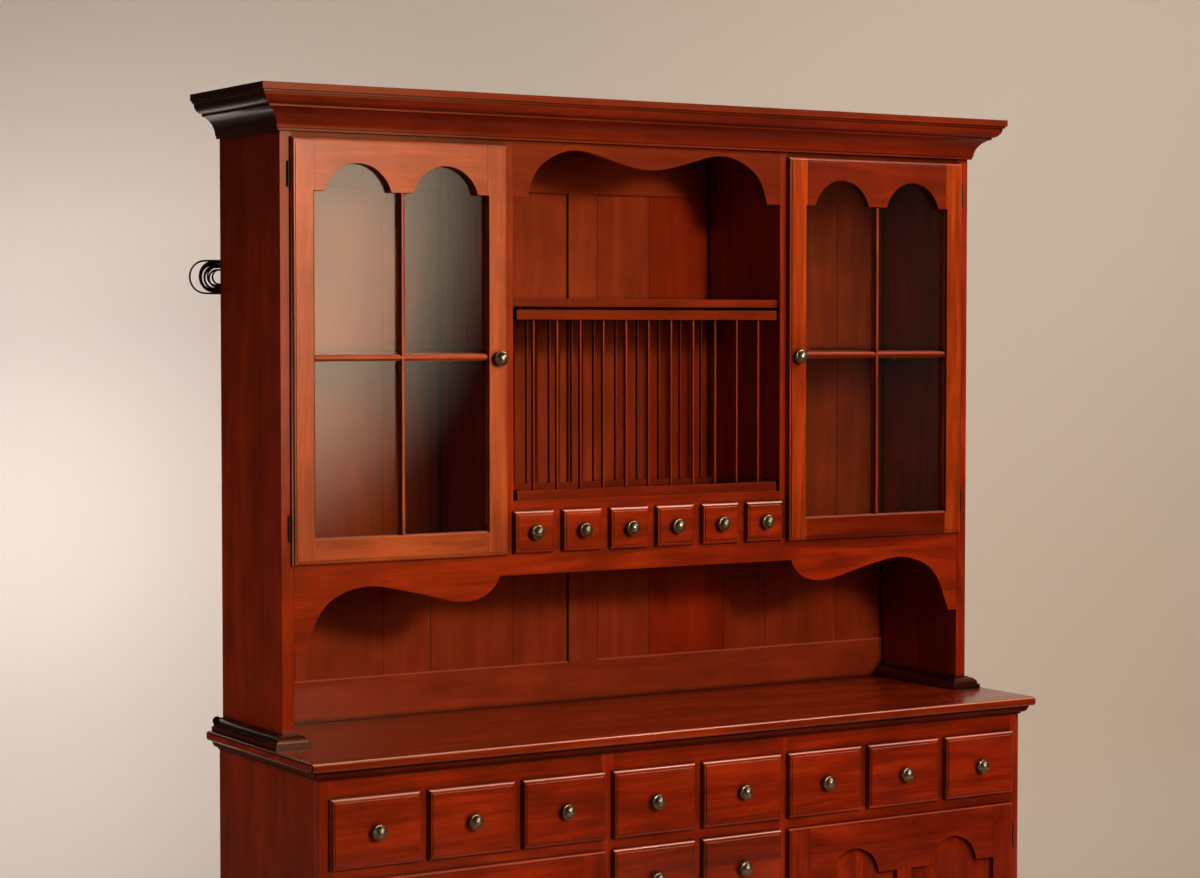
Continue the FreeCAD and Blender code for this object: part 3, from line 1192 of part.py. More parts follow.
def coil_path():
    """The coil spirals in beside the back, climbs a layer along a run, and spirals out again to a loose
    outer loop and the tail that the plug hangs from. Nothing ties its left end, so the turns fan out there
    by steps, and those of the outer layer fall between them by uneven shares of a step."""
    level, pitch, inner = coil_level, mm.cord_pitch, coil_inner
    edges = [straight(-mm.lead_reach, coil_left, level + mm.coil_radius, lead_y)]
    for number in range(COIL_TURNS):
        radius = mm.coil_radius - number * pitch
        left = coil_left + number * mm.coil_fan
        edges.append(half_turn(-1, left, level + radius, level - radius, lead_y))
        if number < COIL_TURNS - 1:
            edges.append(straight(left, coil_right, level - radius, lead_y))
            edges.append(half_turn(1, coil_right, level + radius - pitch, level - radius, lead_y))
            edges.append(straight(coil_right, left + mm.coil_fan, level + radius - pitch, lead_y))
    run = (coil_right - coil_neck) / 2
    middle = coil_neck + run
    sweep = math.atan2(pitch / 2, run)
    for start_x, end_x, start_y, end_y, bow in ((coil_neck, middle, lead_y, lead_y + pitch / 2, -1),
                                                (middle, coil_right, lead_y + pitch / 2, outer_y, 1)):
        half = Vector(end_x - start_x, end_y - start_y, 0)
        sag = half.Length / 2 * math.tan(sweep / 2)
        side = Vector(-half.y, half.x, 0).normalize() * bow * sag
        through = cord_point((start_x + end_x) / 2, level - inner, (start_y + end_y) / 2) + side
        edges.append(Part.Arc(cord_point(start_x, level - inner, start_y), through,
                              cord_point(end_x, level - inner, end_y)))
    top, bottom = level + inner, level - inner
    edges.append(half_turn(1, coil_right, top, bottom, outer_y))
    loose_top, loose_bottom = level + mm.loose_loop_radius, level - mm.loose_loop_radius
    for number, share in enumerate(COIL_SLACK_SHARES, 1):
        left = coil_left + (COIL_TURNS - number - share) * mm.coil_fan
        edges.append(straight(coil_right, left, top, outer_y))
        bottom -= pitch
        edges.append(half_turn(-1, left, top, bottom, outer_y))
        edges.append(straight(left, coil_right, bottom, outer_y))
        top = top + pitch if number < len(COIL_SLACK_SHARES) else loose_top
        edges.append(half_turn(1, coil_right, top, bottom, outer_y))
    loose_left = coil_left - mm.loose_loop_reach
    edges.append(straight(coil_right, loose_left, loose_top, outer_y))
    edges.append(half_turn(-1, loose_left, loose_top, loose_bottom, outer_y))
    edges.append(straight(loose_left, -mm.tail_inset, loose_bottom, outer_y))
    bend = mm.tail_radius * math.sqrt(0.5)
    tail_end = mm.tail_radius - mm.tail_inset
    low = loose_bottom - mm.tail_radius
    edges.append(Part.Arc(cord_point(-mm.tail_inset, loose_bottom, outer_y),
                          cord_point(bend - mm.tail_inset, low + bend, outer_y),
                          cord_point(tail_end, low, outer_y)))
    edges.append(Part.LineSegment(cord_point(tail_end, low, outer_y),
                                  cord_point(tail_end, low - mm.tail_drop, outer_y)))
    return edges


def least_gap(path, diameter):
    """Least clear distance between stretches of a cord that are not neighbours along it."""
    step = diameter / 2
    points = path.discretize(Distance=step)
    apart = int(3 * diameter / step)
    return min(first.distanceToPoint(second) for index, first in enumerate(points)
               for second in points[index + apart:]) - diameter


coil, coil_wire = tube("cord_coil", coil_path())
print(f"cord_coil least gap to itself {least_gap(coil_wire, mm.cord_diameter):.2f}")
node("cord_coil", [coil])

# A band ties the coil's upper runs, and the plug hangs on the tail.
tie_x = (3 * coil_neck + coil_right) / 4
strand = mm.cord_diameter / 2 + mm.tie_gap


def tie_block(name, margin, width):
    """A block round the tied strands."""
    block = doc.addObject("Part::Box", name)
    low = cord_point(tie_x - width / 2, coil_level + coil_inner - strand - margin, lead_y - strand - margin)
    high = cord_point(tie_x + width / 2, coil_level + mm.loose_loop_radius + strand + margin,
                      outer_y + strand + margin)
    block.Length, block.Width, block.Height = high - low
    block.Placement.Base = low
    return block


node("coil_tie", [cut("tie_band", tie_block("tie_outside", mm.tie_wall, mm.tie_width),
                      [tie_block("tie_inside", 0, mm.tie_width + 2 * mm.overrun)])])

plug_x = mm.tail_radius - mm.tail_inset
plug_top = coil_level - mm.loose_loop_radius - mm.tail_radius - mm.tail_drop
neck = doc.addObject("Part::Cone", "plug_neck_cone")
neck.setExpression("Radius1", bind("plug_neck_diameter / 2"))
neck.setExpression("Radius2", bind("gland_tip_diameter / 2"))
neck.setExpression("Height", bind("plug_neck"))
neck.Placement.Base = cord_point(plug_x, plug_top - mm.plug_neck, outer_y)
shell = doc.addObject("Part::Box", "plug_shell")
for side, size in (("Length", "plug_width"), ("Width", "plug_depth"), ("Height", "plug_length - plug_neck")):
    shell.setExpression(side, bind(size))
shell.Placement.Base = cord_point(plug_x - mm.plug_width / 2, plug_top - mm.plug_length,
                                  outer_y - mm.plug_depth / 2)
shell = round_edges("plug_shell_round", shell, mm.plug_depth / 4, lambda edge: edge.Vertexes[0].Z
                    != edge.Vertexes[1].Z)
plug_pieces = [fuse("plug_body", [neck, shell])]
for name, sign in (("left", -1), ("right", 1)):
    blade = doc.addObject("Part::Box", "plug_blade_" + name)
    for side, size in (("Length", "plug_blade_thickness"), ("Width", "plug_blade_width"),
                       ("Height", "plug_blade")):
        blade.setExpression(side, bind(size))
    blade.Placement.Base = cord_point(plug_x + sign * mm.plug_blade_spacing / 2 - mm.plug_blade_thickness / 2,
                                      plug_top - mm.plug_length - mm.plug_blade,
                                      outer_y - mm.plug_blade_width / 2)
    plug_pieces.append(blade)
node("plug", plug_pieces)

# Behind the left foot a steel tie plate has swung out on its lower screw, so that its upper eye shows
# beside the hutch. A headed peg higher up carries the coil.
half = mm.plate_width / 2
lean = math.radians(mm.plate_lean)
eye = Vector(-mm.x_hutch - mm.plate_overhang, mm.y_back, mm.z_counter + mm.plate_eye_height)
along = Vector(math.sin(lean), 0, -math.cos(lean))
plate_outline = outline((-half, 0), ((0, half), (half, 0)), (half, -mm.plate_centres),
                        ((0, -mm.plate_centres - half), (-half, -mm.plate_centres)), (-half, 0))
plate = extrude("plate_blank", sketch("plate_outline", plate_outline, eye,
                                      Vector(math.cos(lean), 0, math.sin(lean)), along * -1),
                Vector(0, 1, 0), "plate_thickness")
holes = []
for name, place in (("eye", eye), ("foot", eye + along * mm.plate_centres)):
    hole = doc.addObject("Part::Cylinder", "plate_hole_" + name)
    hole.setExpression("Radius", bind("plate_hole / 2"))
    hole.setExpression("Height", bind("plate_thickness + 2 * overrun"))
    hole.Placement = Placement(place - Vector(0, mm.overrun, 0), AXIS["y"])
    holes.append(hole)
plate = cut("tie_plate", plate, holes)
peg_level = coil_level + coil_inner - mm.cord_diameter / 2 - mm.tie_gap - mm.peg_diameter / 2
peg_at = cord_point((coil_neck + 3 * coil_right) / 4, peg_level, mm.y_back)
peg = doc.addObject("Part::Cylinder", "peg_shank")
head = doc.addObject("Part::Cylinder", "peg_head_disc")
for piece, diameter, length, place in ((peg, "peg_diameter", "peg_reach", peg_at),
                                       (head, "peg_head_diameter", "peg_head",
                                        peg_at + Vector(0, mm.peg_reach - mm.peg_head, 0))):
    piece.Placement = Placement(place, AXIS["y"])
    piece.setExpression("Radius", bind(diameter + " / 2"))
    piece.setExpression("Height", bind(length))
node("rear_fittings", [plate, fuse("cord_peg", [peg, head])])

doc.recompute()
faults = [item.Name for item in doc.Objects if "Invalid" in item.State or "Error" in item.State]
faults += [item.Label for item in nodes if item.Shape.isNull() or not item.Shape.isValid()]
if faults:
    raise RuntimeError("faulty pieces: " + ", ".join(faults))
os.makedirs("parts", exist_ok=True)
for item in nodes:
    item.Shape.exportStep(f"parts/{item.Label}.step")
print(len(nodes), "nodes,", sum(len(item.Shape.Solids) for item in nodes), "solids")
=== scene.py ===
import math

import bpy
import bmesh
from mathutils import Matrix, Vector


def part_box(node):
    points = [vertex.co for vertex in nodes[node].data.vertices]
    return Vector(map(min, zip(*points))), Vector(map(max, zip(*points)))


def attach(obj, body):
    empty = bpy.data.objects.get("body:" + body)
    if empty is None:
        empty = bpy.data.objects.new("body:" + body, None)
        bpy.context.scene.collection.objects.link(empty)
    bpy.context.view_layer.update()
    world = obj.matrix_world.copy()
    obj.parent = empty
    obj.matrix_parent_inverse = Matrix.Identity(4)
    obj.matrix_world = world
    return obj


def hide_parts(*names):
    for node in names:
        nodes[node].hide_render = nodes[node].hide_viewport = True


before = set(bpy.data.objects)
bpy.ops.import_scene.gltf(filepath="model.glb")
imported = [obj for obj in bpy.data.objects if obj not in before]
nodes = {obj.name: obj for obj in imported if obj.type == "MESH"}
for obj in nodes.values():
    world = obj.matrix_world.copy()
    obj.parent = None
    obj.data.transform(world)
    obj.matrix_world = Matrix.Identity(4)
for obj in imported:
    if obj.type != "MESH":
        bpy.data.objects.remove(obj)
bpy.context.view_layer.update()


# Studio. A pale painted wall and floor joined by a sweep, square to a camera that stands to the cabinet's
# left at eye height. A warm softbox is mirrored in the left door's glass and a faint glow in the right one's,
# a key and a strip light the fronts and their top edges, and the side and the wall have lamps of their own.
def linear(hex_colour):
    """An sRGB hex value as a linear colour."""
    channels = [int(hex_colour[place:place + 2], 16) / 255 for place in (1, 3, 5)]
    return [c / 12.92 if c <= 0.04045 else ((c + 0.055) / 1.055) ** 2.4 for c in channels] + [1.0]


def add(tree, kind, links=None, **settings):
    """A shader node with its settings, and its sockets given a value or a link."""
    node = tree.nodes.new(kind)
    for name, value in settings.items():
        setattr(node, name, value)
    for socket, source in (links or {}).items():
        if isinstance(source, bpy.types.NodeSocket):
            tree.links.new(source, node.inputs[socket])
        else:
            node.inputs[socket].default_value = source
    return node


def new_material(name):
    """A material with its node tree and its surface shader."""
    material = bpy.data.materials.new(name)
    material.use_nodes = True
    return material, material.node_tree, material.node_tree.nodes["Principled BSDF"]


eye = Vector((-3.1622, -4.9798, 1.6876))
turn = math.radians(31.57)
tilt_down = math.radians(2.33)
camera = bpy.data.objects.new("camera", bpy.data.cameras.new("camera"))
camera.location = eye
camera.rotation_euler = (math.pi / 2 - tilt_down, 0, -turn)
camera.data.lens = 79.96
camera.data.sensor_width = 36
camera.data.clip_end = 60
bpy.context.scene.collection.objects.link(camera)
bpy.context.scene.camera = camera
bpy.context.scene.view_settings.view_transform = "Standard"

world = bpy.data.worlds.new("room")
bpy.context.scene.world = world
world.use_nodes = True
room_light = world.node_tree.nodes["Background"].inputs
room_light["Color"].default_value = linear("#FFE0C4")
room_light["Strength"].default_value = 0.014


def softbox(name, place, target, width, height, watts, colour, spread=180):
    """A rectangular lamp aimed at a point, brightest in the middle and fading towards its edges. A grid on
    its front narrows its spread, in degrees."""
    lamp = bpy.data.objects.new(name, bpy.data.lights.new(name, "AREA"))
    lamp.data.shape = "RECTANGLE"
    lamp.data.size, lamp.data.size_y = width, height
    lamp.data.energy = watts
    lamp.data.spread = math.radians(spread)
    lamp.data.color = linear(colour)[:3]
    lamp.data.use_nodes = True
    tree = lamp.data.node_tree
    spot = add(tree, "ShaderNodeNewGeometry").outputs["Parametric"]
    off = add(tree, "ShaderNodeVectorMath", {0: spot, 1: (0.5, 0.5, 0.0)}, operation="DISTANCE")
    fade = add(tree, "ShaderNodeMapRange", {"Value": off.outputs["Value"], "From Min": 0.5, "From Max": 0.22},
               interpolation_type="SMOOTHSTEP")
    tree.links.new(fade.outputs[0], tree.nodes["Emission"].inputs["Strength"])
    lamp.location = place
    lamp.rotation_euler = (Vector(target) - Vector(place)).to_track_quat("-Z", "Y").to_euler()
    lamp.visible_camera = False
    bpy.context.scene.collection.objects.link(lamp)


wall_distance = 8.1
wall_way = Vector((math.sin(turn), math.cos(turn), 0))
along = Vector((math.cos(turn), -math.sin(turn), 0))
foot = Vector((eye.x, eye.y, 0)) + wall_way * wall_distance
wall_spot = foot - along * 1.65 + Vector((0, 0, 1.15))
wall_lamp_place = wall_spot - wall_way * 1.5 - along * 0.2
wash_spot = foot + along * 0.3 + Vector((0, 0, 2.0))
wash_lamp_place = wash_spot - wall_way * 2.4 + along * 1.6 + Vector((0, 0, 1.0))
softbox("front_softbox", (0.72, -4.0, 2.1), (0.3, 0.0, 1.7), 2.3, 2.8, 72, "#FFE2C4")
softbox("key_lamp", (0.3, -4.2, 2.75), (-0.6, 0.0, 1.6), 0.9, 0.9, 62, "#FFF8F0", 90)
softbox("strip_lamp", (2.2, -2.4, 3.9), (0.4, -0.2, 1.0), 3.6, 0.25, 66, "#FFF8F0")
softbox("room_glow", (5.2, -4.0, 1.6), (0.6, 0.0, 1.5), 4.0, 3.2, 2.6, "#E6EED8")
softbox("left_fill", (-3.8, 0.4, 1.05), (-0.9, 0.1, 1.05), 1.8, 1.8, 11.5, "#FFE6CE", 60)
softbox("wall_lamp", wall_lamp_place, wall_spot, 0.8, 0.8, 58, "#F7F6FF")
softbox("wall_wash", wash_lamp_place, wash_spot, 1.0, 1.0, 48, "#FAF8F6")

bend_radius, bend_steps = 0.5, 10
floor_depth, wall_height = 5.2, 6
left_edge, right_edge, front_right_edge = -2.6, 5.0, 1.5
sweep = bmesh.new()
rows = []
for step in range(-1, bend_steps + 2):
    on_floor, on_wall = step < 0, step > bend_steps
    angle = math.pi / 2 * min(max(step, 0), bend_steps) / bend_steps
    back = bend_radius * math.sin(angle) - bend_radius - (floor_depth if on_floor else 0)
    rise = bend_radius - bend_radius * math.cos(angle) + (wall_height if on_wall else 0)
    rows.append([sweep.verts.new(foot + wall_way * back + along * edge + Vector((0, 0, rise)))
                 for edge in (left_edge, front_right_edge if on_floor else right_edge)])
for low, high in zip(rows, rows[1:]):
    sweep.faces.new((low[0], low[1], high[1], high[0]))
backdrop = bpy.data.objects.new("backdrop", bpy.data.meshes.new("backdrop"))
sweep.to_mesh(backdrop.data)
for face in backdrop.data.polygons:
    face.use_smooth = True
bpy.context.scene.collection.objects.link(backdrop)

# matt emulsion put on with a roller: faintly cloudy, and clear from behind so that it hides nothing
wall_paint, tree, shader = new_material("matt_wall_paint")
roller = add(tree, "ShaderNodeTexNoise", {"Scale": 2.0, "Detail": 3.0})
tint = add(tree, "ShaderNodeValToRGB", {"Fac": roller.outputs["Fac"]})
tint.color_ramp.elements[0].color = linear("#E6D7C5")
tint.color_ramp.elements[1].color = linear("#ECDECD")
tree.links.new(tint.outputs["Color"], shader.inputs["Base Color"])
shader.inputs["Roughness"].default_value = 0.85
behind = add(tree, "ShaderNodeNewGeometry").outputs["Backfacing"]
unseen = add(tree, "ShaderNodeBsdfTransparent").outputs[0]
one_sided = add(tree, "ShaderNodeMixShader", {0: behind, 1: shader.outputs[0], 2: unseen})
tree.links.new(one_sided.outputs[0], tree.nodes["Material Output"].inputs["Surface"])
backdrop.data.materials.append(wall_paint)


# Base case. Sides, floor and dividers stand behind a face frame of stiles, rails and muntins, glued
# and screwed together from solid cherry, stained red-brown and lacquered.
# The last argument is the colour of the painted highlight on edges that face up.
def stained_cherry(name, dark, middle, pale, roughness=0.42, lacquer=0.4, wear_and_highlight="#7A4030"):
    """Cherry under stain and semi-gloss lacquer, one material for each way that the grain can run. The
    stain takes unevenly, so it is blotched, with soft figure and fine streaks along the grain. A dark glaze
    lies along the arrises, together with painted shade in the joints between boards. Painted shade darkens
    the nooks and the rounded edges that face left, and a painted highlight of the given colour lightens
    edges that face up."""
    woods = []
    for axis in range(3):
        wood, tree, shader = new_material(f"{name}_grain_{'xyz'[axis]}")
        place = add(tree, "ShaderNodeTexCoord").outputs["Object"]
        layers = {}
        # across and along the grain in millimetres: figure, streaks and pores. Real pores are 0.1 mm
        # wide, too fine to show, so they are drawn 1.5 mm wide.
        for layer, across, length, detail in (("figure", 48, 420, 3.0), ("streak", 5, 120, 4.0),
                                              ("pore", 1.5, 16, 1.0)):
            scale = [1000 / across] * 3
            scale[axis] = 1000 / length
            spread = add(tree, "ShaderNodeMapping", {"Vector": place, "Scale": scale})
            layers[layer] = add(tree, "ShaderNodeTexNoise", {
                "Vector": spread.outputs[0], "Scale": 1.0, "Detail": detail, "Roughness": 0.55,
                "Distortion": 1.0 if layer == "figure" else 0.0}).outputs["Fac"]
        mixed = add(tree, "ShaderNodeMix", {"Factor": 0.28, "A": layers["figure"], "B": layers["streak"]})
        tone = add(tree, "ShaderNodeValToRGB", {"Fac": mixed.outputs["Result"]})
        tone.color_ramp.elements[0].position = 0.34
        tone.color_ramp.elements[0].color = linear(dark)
        tone.color_ramp.elements[1].position = 0.66
        tone.color_ramp.elements[1].color = linear(pale)
        tone.color_ramp.elements.new(0.5).color = linear(middle)

        blotch_width = 110
        blotch = add(tree, "ShaderNodeTexNoise", {"Vector": place, "Scale": 1000 / blotch_width,
                                                  "Detail": 3.0})
        # painted shade: nooks and recesses are darkened by how closed in they are
        painted_crevice_shade = add(tree, "ShaderNodeAmbientOcclusion", {"Distance": 0.018}, samples=8)
        # a dark line along every arris and joint: glaze on the arrises, painted shade in the joints
        eased = add(tree, "ShaderNodeBevel", {"Radius": 0.0016}, samples=4).outputs[0]
        flat = add(tree, "ShaderNodeNewGeometry").outputs["Normal"]
        arris_glaze_and_joint_shade = add(tree, "ShaderNodeVectorMath", {0: eased, 1: flat}, operation="DOT_PRODUCT")
        facing = add(tree, "ShaderNodeSeparateXYZ", {"Vector": eased}).outputs
        # what each trait is measured by, the measure's two ends, and the trait's strength at those ends
        strength = {}
        for trait, measure, start, end, at_start, at_end in (
                ("blotch", blotch.outputs["Fac"], 0.3, 0.7, 0.78, 1.15),
                ("pore", layers["pore"], 0.30, 0.42, 0.92, 1.0),
                ("painted_crevice_shade", painted_crevice_shade.outputs["AO"], 0.45, 0.88, 0.03, 1.0),
                ("arris_glaze_and_joint_shade", arris_glaze_and_joint_shade.outputs["Value"], 0.75, 0.98, 0.35, 1.0),
                ("leftward", facing["X"], -0.15, -0.45, 0.0, 0.94),
                ("not_side", facing["X"], -0.99, -0.93, 0.0, 1.0),
                ("upward", facing["Z"], 0.4, 0.6, 0.0, 1.0),
                ("not_level", facing["Z"], 0.92, 0.78, 0.0, 1.0),
                ("roughness", layers["streak"], 0.3, 0.7, roughness - 0.05, roughness + 0.07)):
            strength[trait] = add(tree, "ShaderNodeMapRange", {
                "Value": measure, "From Min": start, "From Max": end,
                "To Min": at_start, "To Max": at_end}).outputs[0]
        # painted shade: rounded edges that face left are darkened and take no painted highlight
        left_edge_shade = add(tree, "ShaderNodeMath", {0: strength["leftward"], 1: strength["not_side"]},
                     operation="MULTIPLY")
        strength["clear_of_left_shade"] = add(tree, "ShaderNodeMath", {0: 1.0, 1: left_edge_shade.outputs[0]},
                               operation="SUBTRACT").outputs[0]
        # stain darkened by blotches, pores and painted shade, then lit by the painted highlight on up-facing
        # edges
        shade, painted_top_highlight = strength["blotch"], strength["upward"]
        for trait in ("arris_glaze_and_joint_shade", "clear_of_left_shade", "painted_crevice_shade", "pore"):
            shade = add(tree, "ShaderNodeMath", {0: shade, 1: strength[trait]},
                        operation="MULTIPLY").outputs[0]
        for trait in ("not_level", "clear_of_left_shade"):
            painted_top_highlight = add(tree, "ShaderNodeMath", {0: painted_top_highlight, 1: strength[trait]},
                      operation="MULTIPLY").outputs[0]
        stain_and_shade = add(tree, "ShaderNodeVectorMath", {0: tone.outputs["Color"], 1: shade}, operation="MULTIPLY")
        stain_shade_and_highlight = add(tree, "ShaderNodeVectorMath", {0: painted_top_highlight, 1: linear(wear_and_highlight)[:3], 2: stain_and_shade.outputs[0]},
                   operation="MULTIPLY_ADD")
        grain = add(tree, "ShaderNodeBump", {"Height": layers["streak"], "Strength": 0.10,
                                             "Distance": 0.0006, "Normal": eased})
        tree.links.new(stain_shade_and_highlight.outputs[0], shader.inputs["Base Color"])
        tree.links.new(strength["roughness"], shader.inputs["Roughness"])
        tree.links.new(grain.outputs[0], shader.inputs["Normal"])
        shader.inputs["IOR"].default_value = 1.52
        shader.inputs["Specular IOR Level"].default_value = 0.25 + 0.6 * lacquer
        shader.inputs["Specular Tint"].default_value = linear("#FF8C3C")
        shader.inputs["Coat Weight"].default_value = lacquer
        shader.inputs["Coat Roughness"].default_value = 0.11
        woods.append(wood)
    return woods


def solids_of(mesh):
    """Lists of faces, one for each closed solid of a node. A solid's faces follow one another, and it
    is complete when each of its edges has been met from both sides."""
    points = [tuple(round(c, 6) for c in vertex.co) for vertex in mesh.vertices]
    unmatched, faces, solids = set(), [], []
    for polygon in mesh.polygons:
        corners = [points[vertex] for vertex in polygon.vertices]
        for edge in zip(corners, corners[1:] + corners[:1]):
            unmatched ^= {tuple(sorted(edge))}
        faces.append(polygon.index)
        if not unmatched:
            solids.append(faces)
            faces = []
    return solids + [faces] if faces else solids


def extent(mesh, faces):
    """Lowest corner and size of some faces of a mesh."""
    corners = [mesh.vertices[vertex].co for face in faces for vertex in mesh.polygons[face].vertices]
    low = Vector([min(corner[axis] for corner in corners) for axis in range(3)])
    high = Vector([max(corner[axis] for corner in corners) for axis in range(3)])
    return low, high - low


def finish_node(name, materials, choose=None):
    """Give a node these materials. Each of its solids takes the one whose place in the list is chosen from
    the solid's lowest corner and size, or the first where nothing is chosen."""
    mesh = nodes[name].data
    mesh.materials.clear()
    for material in materials:
        mesh.materials.append(material)
    if choose:
        for faces in solids_of(mesh):
            chosen = choose(*extent(mesh, faces))
            for face in faces:
                mesh.polygons[face].material_index = chosen


def grain_way(low, size):
    """The axis that a board's grain runs along, which is its longest."""
    return max(range(3), key=lambda axis: size[axis])


def lay_grain(woods, *names):
    """Give each board of the nodes the wood whose grain runs along the board's length."""
    for name in names:
        finish_node(name, woods, grain_way)


case_cherry = stained_cherry("case_cherry", "#661302", "#861C04", "#A62C08")
side_cherry = stained_cherry("side_cherry", "#661703", "#761D04", "#862706", 0.50, 0.06)
inner_maple = stained_cherry("inner_maple", "#8A5A34", "#A87446", "#BE8B5A", 0.50)
lay_grain(case_cherry, "base_face_frame", "bracket_plinth")
lay_grain(side_cherry, "base_sides")
lay_grain(inner_maple, "base_floor", "base_back", "base_dividers")

# Counter. A wide glued-up board with rounded edges over an ovolo moulding, with a glossier, well
# rubbed top that mirrors the niche above it.
# the pale last colour is a painted highlight along the counter's edges that face up
counter_cherry = stained_cherry("counter_cherry", "#641705", "#86240A", "#A2340F", 0.30, 0.4, "#C89880")
ovolo_cherry = stained_cherry("ovolo_cherry", "#430E04", "#521305", "#621A08", 0.60, 0.0, "#180C08")
lay_grain(counter_cherry, "countertop")
lay_grain(ovolo_cherry, "counter_moulding")


# Hutch case. Two tall sides with moulded feet stand on the counter and carry floor, ceiling,
# partitions, the flush front rails with their sawn scallops, and a mitred cornice. A dark glaze was wiped
# over the rails and cornice. The feet and the side-facing faces of the cornice's returns take a near-black
# stain that is painted shade.
def stain_over(name, woods, choose):
    """Give some faces of a node another wood, with the grain as it was laid. They are chosen from their
    solid's lowest corner and size, and the way that they face."""
    mesh = nodes[name].data
    first = len(mesh.materials)
    for wood in woods:
        mesh.materials.append(wood)
    for faces in solids_of(mesh):
        low, size = extent(mesh, faces)
        for face in faces:
            if choose(low, size, mesh.polygons[face].normal):
                mesh.polygons[face].material_index += first


rail_cherry = stained_cherry("rail_cherry", "#5C1203", "#6C1805", "#7C2007", 0.42, 0.15)
# near-black copy of the stain, painted shade for the feet and the side-facing faces of the cornice's returns
painted_shade_cherry = stained_cherry("painted_shade_cherry", "#2A0C05", "#3A1208", "#4A190B", 0.36, 0.4, "#180C08")
longest_return, facing_front, facing_aside = 0.2, 0.9, 0.1
lay_grain(side_cherry, "hutch_sides")
lay_grain(case_cherry, "hutch_top_and_floor", "hutch_partitions", "scalloped_apron")
lay_grain(rail_cherry, "hutch_front_rails", "cornice_moulding")
lay_grain(painted_shade_cherry, "foot_mouldings")
stain_over("hutch_sides", case_cherry, lambda low, size, normal: -normal.y > facing_front)
stain_over("cornice_moulding", painted_shade_cherry,
           lambda low, size, normal: size.x < longest_return and abs(normal.x) > facing_aside)

# Hutch back. Boards of uneven width between two rails and a centre stile, seen through the glass and
# behind the rack. Their stain is a little browner, but one board took it redder.
back_cherry = stained_cherry("back_cherry", "#7A220D", "#882A11", "#943315", 0.50)
red_cherry = stained_cherry("red_cherry", "#781703", "#881C04", "#982406", 0.46)
red_board_edge, widest_board = (0.15, 0.25), 0.3
lay_grain(back_cherry, "hutch_back")
stain_over("hutch_back", red_cherry, lambda low, size, normal:
           red_board_edge[0] < low.x < red_board_edge[1] and size.x < widest_board)

# Shelves, plate rack and spice drawer case. Plain boards, square bars and turned spindles of the same
# cherry, with the shelves loose on steel pins.
lay_grain(case_cherry, "cupboard_shelves", "spice_drawer_case", "plate_rack_spindles")
lay_grain(rail_cherry, "display_shelf", "plate_rack_bars")

# Doors. Mortised frames with arched top rails, four lights of glass above and raised panels below. The
# selected, straighter boards took the stain brighter and more orange than the case, and the left door's
# lacquer has gone duller. The right door's rails were cut from the darker boards of the case's rails.
orange_cherry = stained_cherry("orange_cherry", "#782608", "#9A3910", "#BA4F1C", 0.42, 0.9)
door_cherry = stained_cherry("door_cherry", "#782205", "#9A310A", "#BA450F", 0.42, 0.15)
panel_cherry = stained_cherry("panel_cherry", "#641203", "#841C04", "#A22A08", 0.40, 0.2)
for wood in orange_cherry:
    shader = wood.node_tree.nodes["Principled BSDF"]
    shader.inputs["Coat Weight"].default_value = 0.5
    shader.inputs["Coat Roughness"].default_value = 0.26
lay_grain(orange_cherry, "glazed_door_left_frame")
lay_grain(rail_cherry[:1] + door_cherry[1:], "glazed_door_right_frame")
for hand in ("left", "right"):
    lay_grain(panel_cherry, f"panel_door_{hand}_frame", f"panel_door_{hand}_panels")

# Panes. Clear float glass bedded in the rear rabbets of the glazed doors. It passes light and mirrors what
# stands before it, and a film of dust in patches about 120 mm wide softens the mirror here and there. The
# light it lets into the cupboards is dimmed grey, which paints shade inside them.
glass, tree, shader = new_material("clear_float_glass")
shader.inputs["Transmission Weight"].default_value = 1.0
shader.inputs["IOR"].default_value = 1.5
shader.inputs["Base Color"].default_value = linear("#F4FAF7")
place = add(tree, "ShaderNodeTexCoord").outputs["Object"]
patches = add(tree, "ShaderNodeTexNoise", {"Vector": place, "Scale": 1000 / 120})
dust = add(tree, "ShaderNodeMapRange", {"Value": patches.outputs["Fac"], "To Min": 0.0, "To Max": 0.03})
tree.links.new(dust.outputs[0], shader.inputs["Roughness"])
# painted shade: light that passes the panes is dimmed by this grey tint, darkening the cupboards' insides
clear = add(tree, "ShaderNodeBsdfTransparent", {"Color": linear("#BCC0BC")}).outputs[0]
shadow_ray = add(tree, "ShaderNodeLightPath").outputs["Is Shadow Ray"]
passing = add(tree, "ShaderNodeMixShader", {0: shadow_ray, 1: shader.outputs[0], 2: clear})
tree.links.new(passing.outputs[0], tree.nodes["Material Output"].inputs["Surface"])
for hand in ("left", "right"):
    finish_node(f"glazed_door_{hand}_glass", [glass])


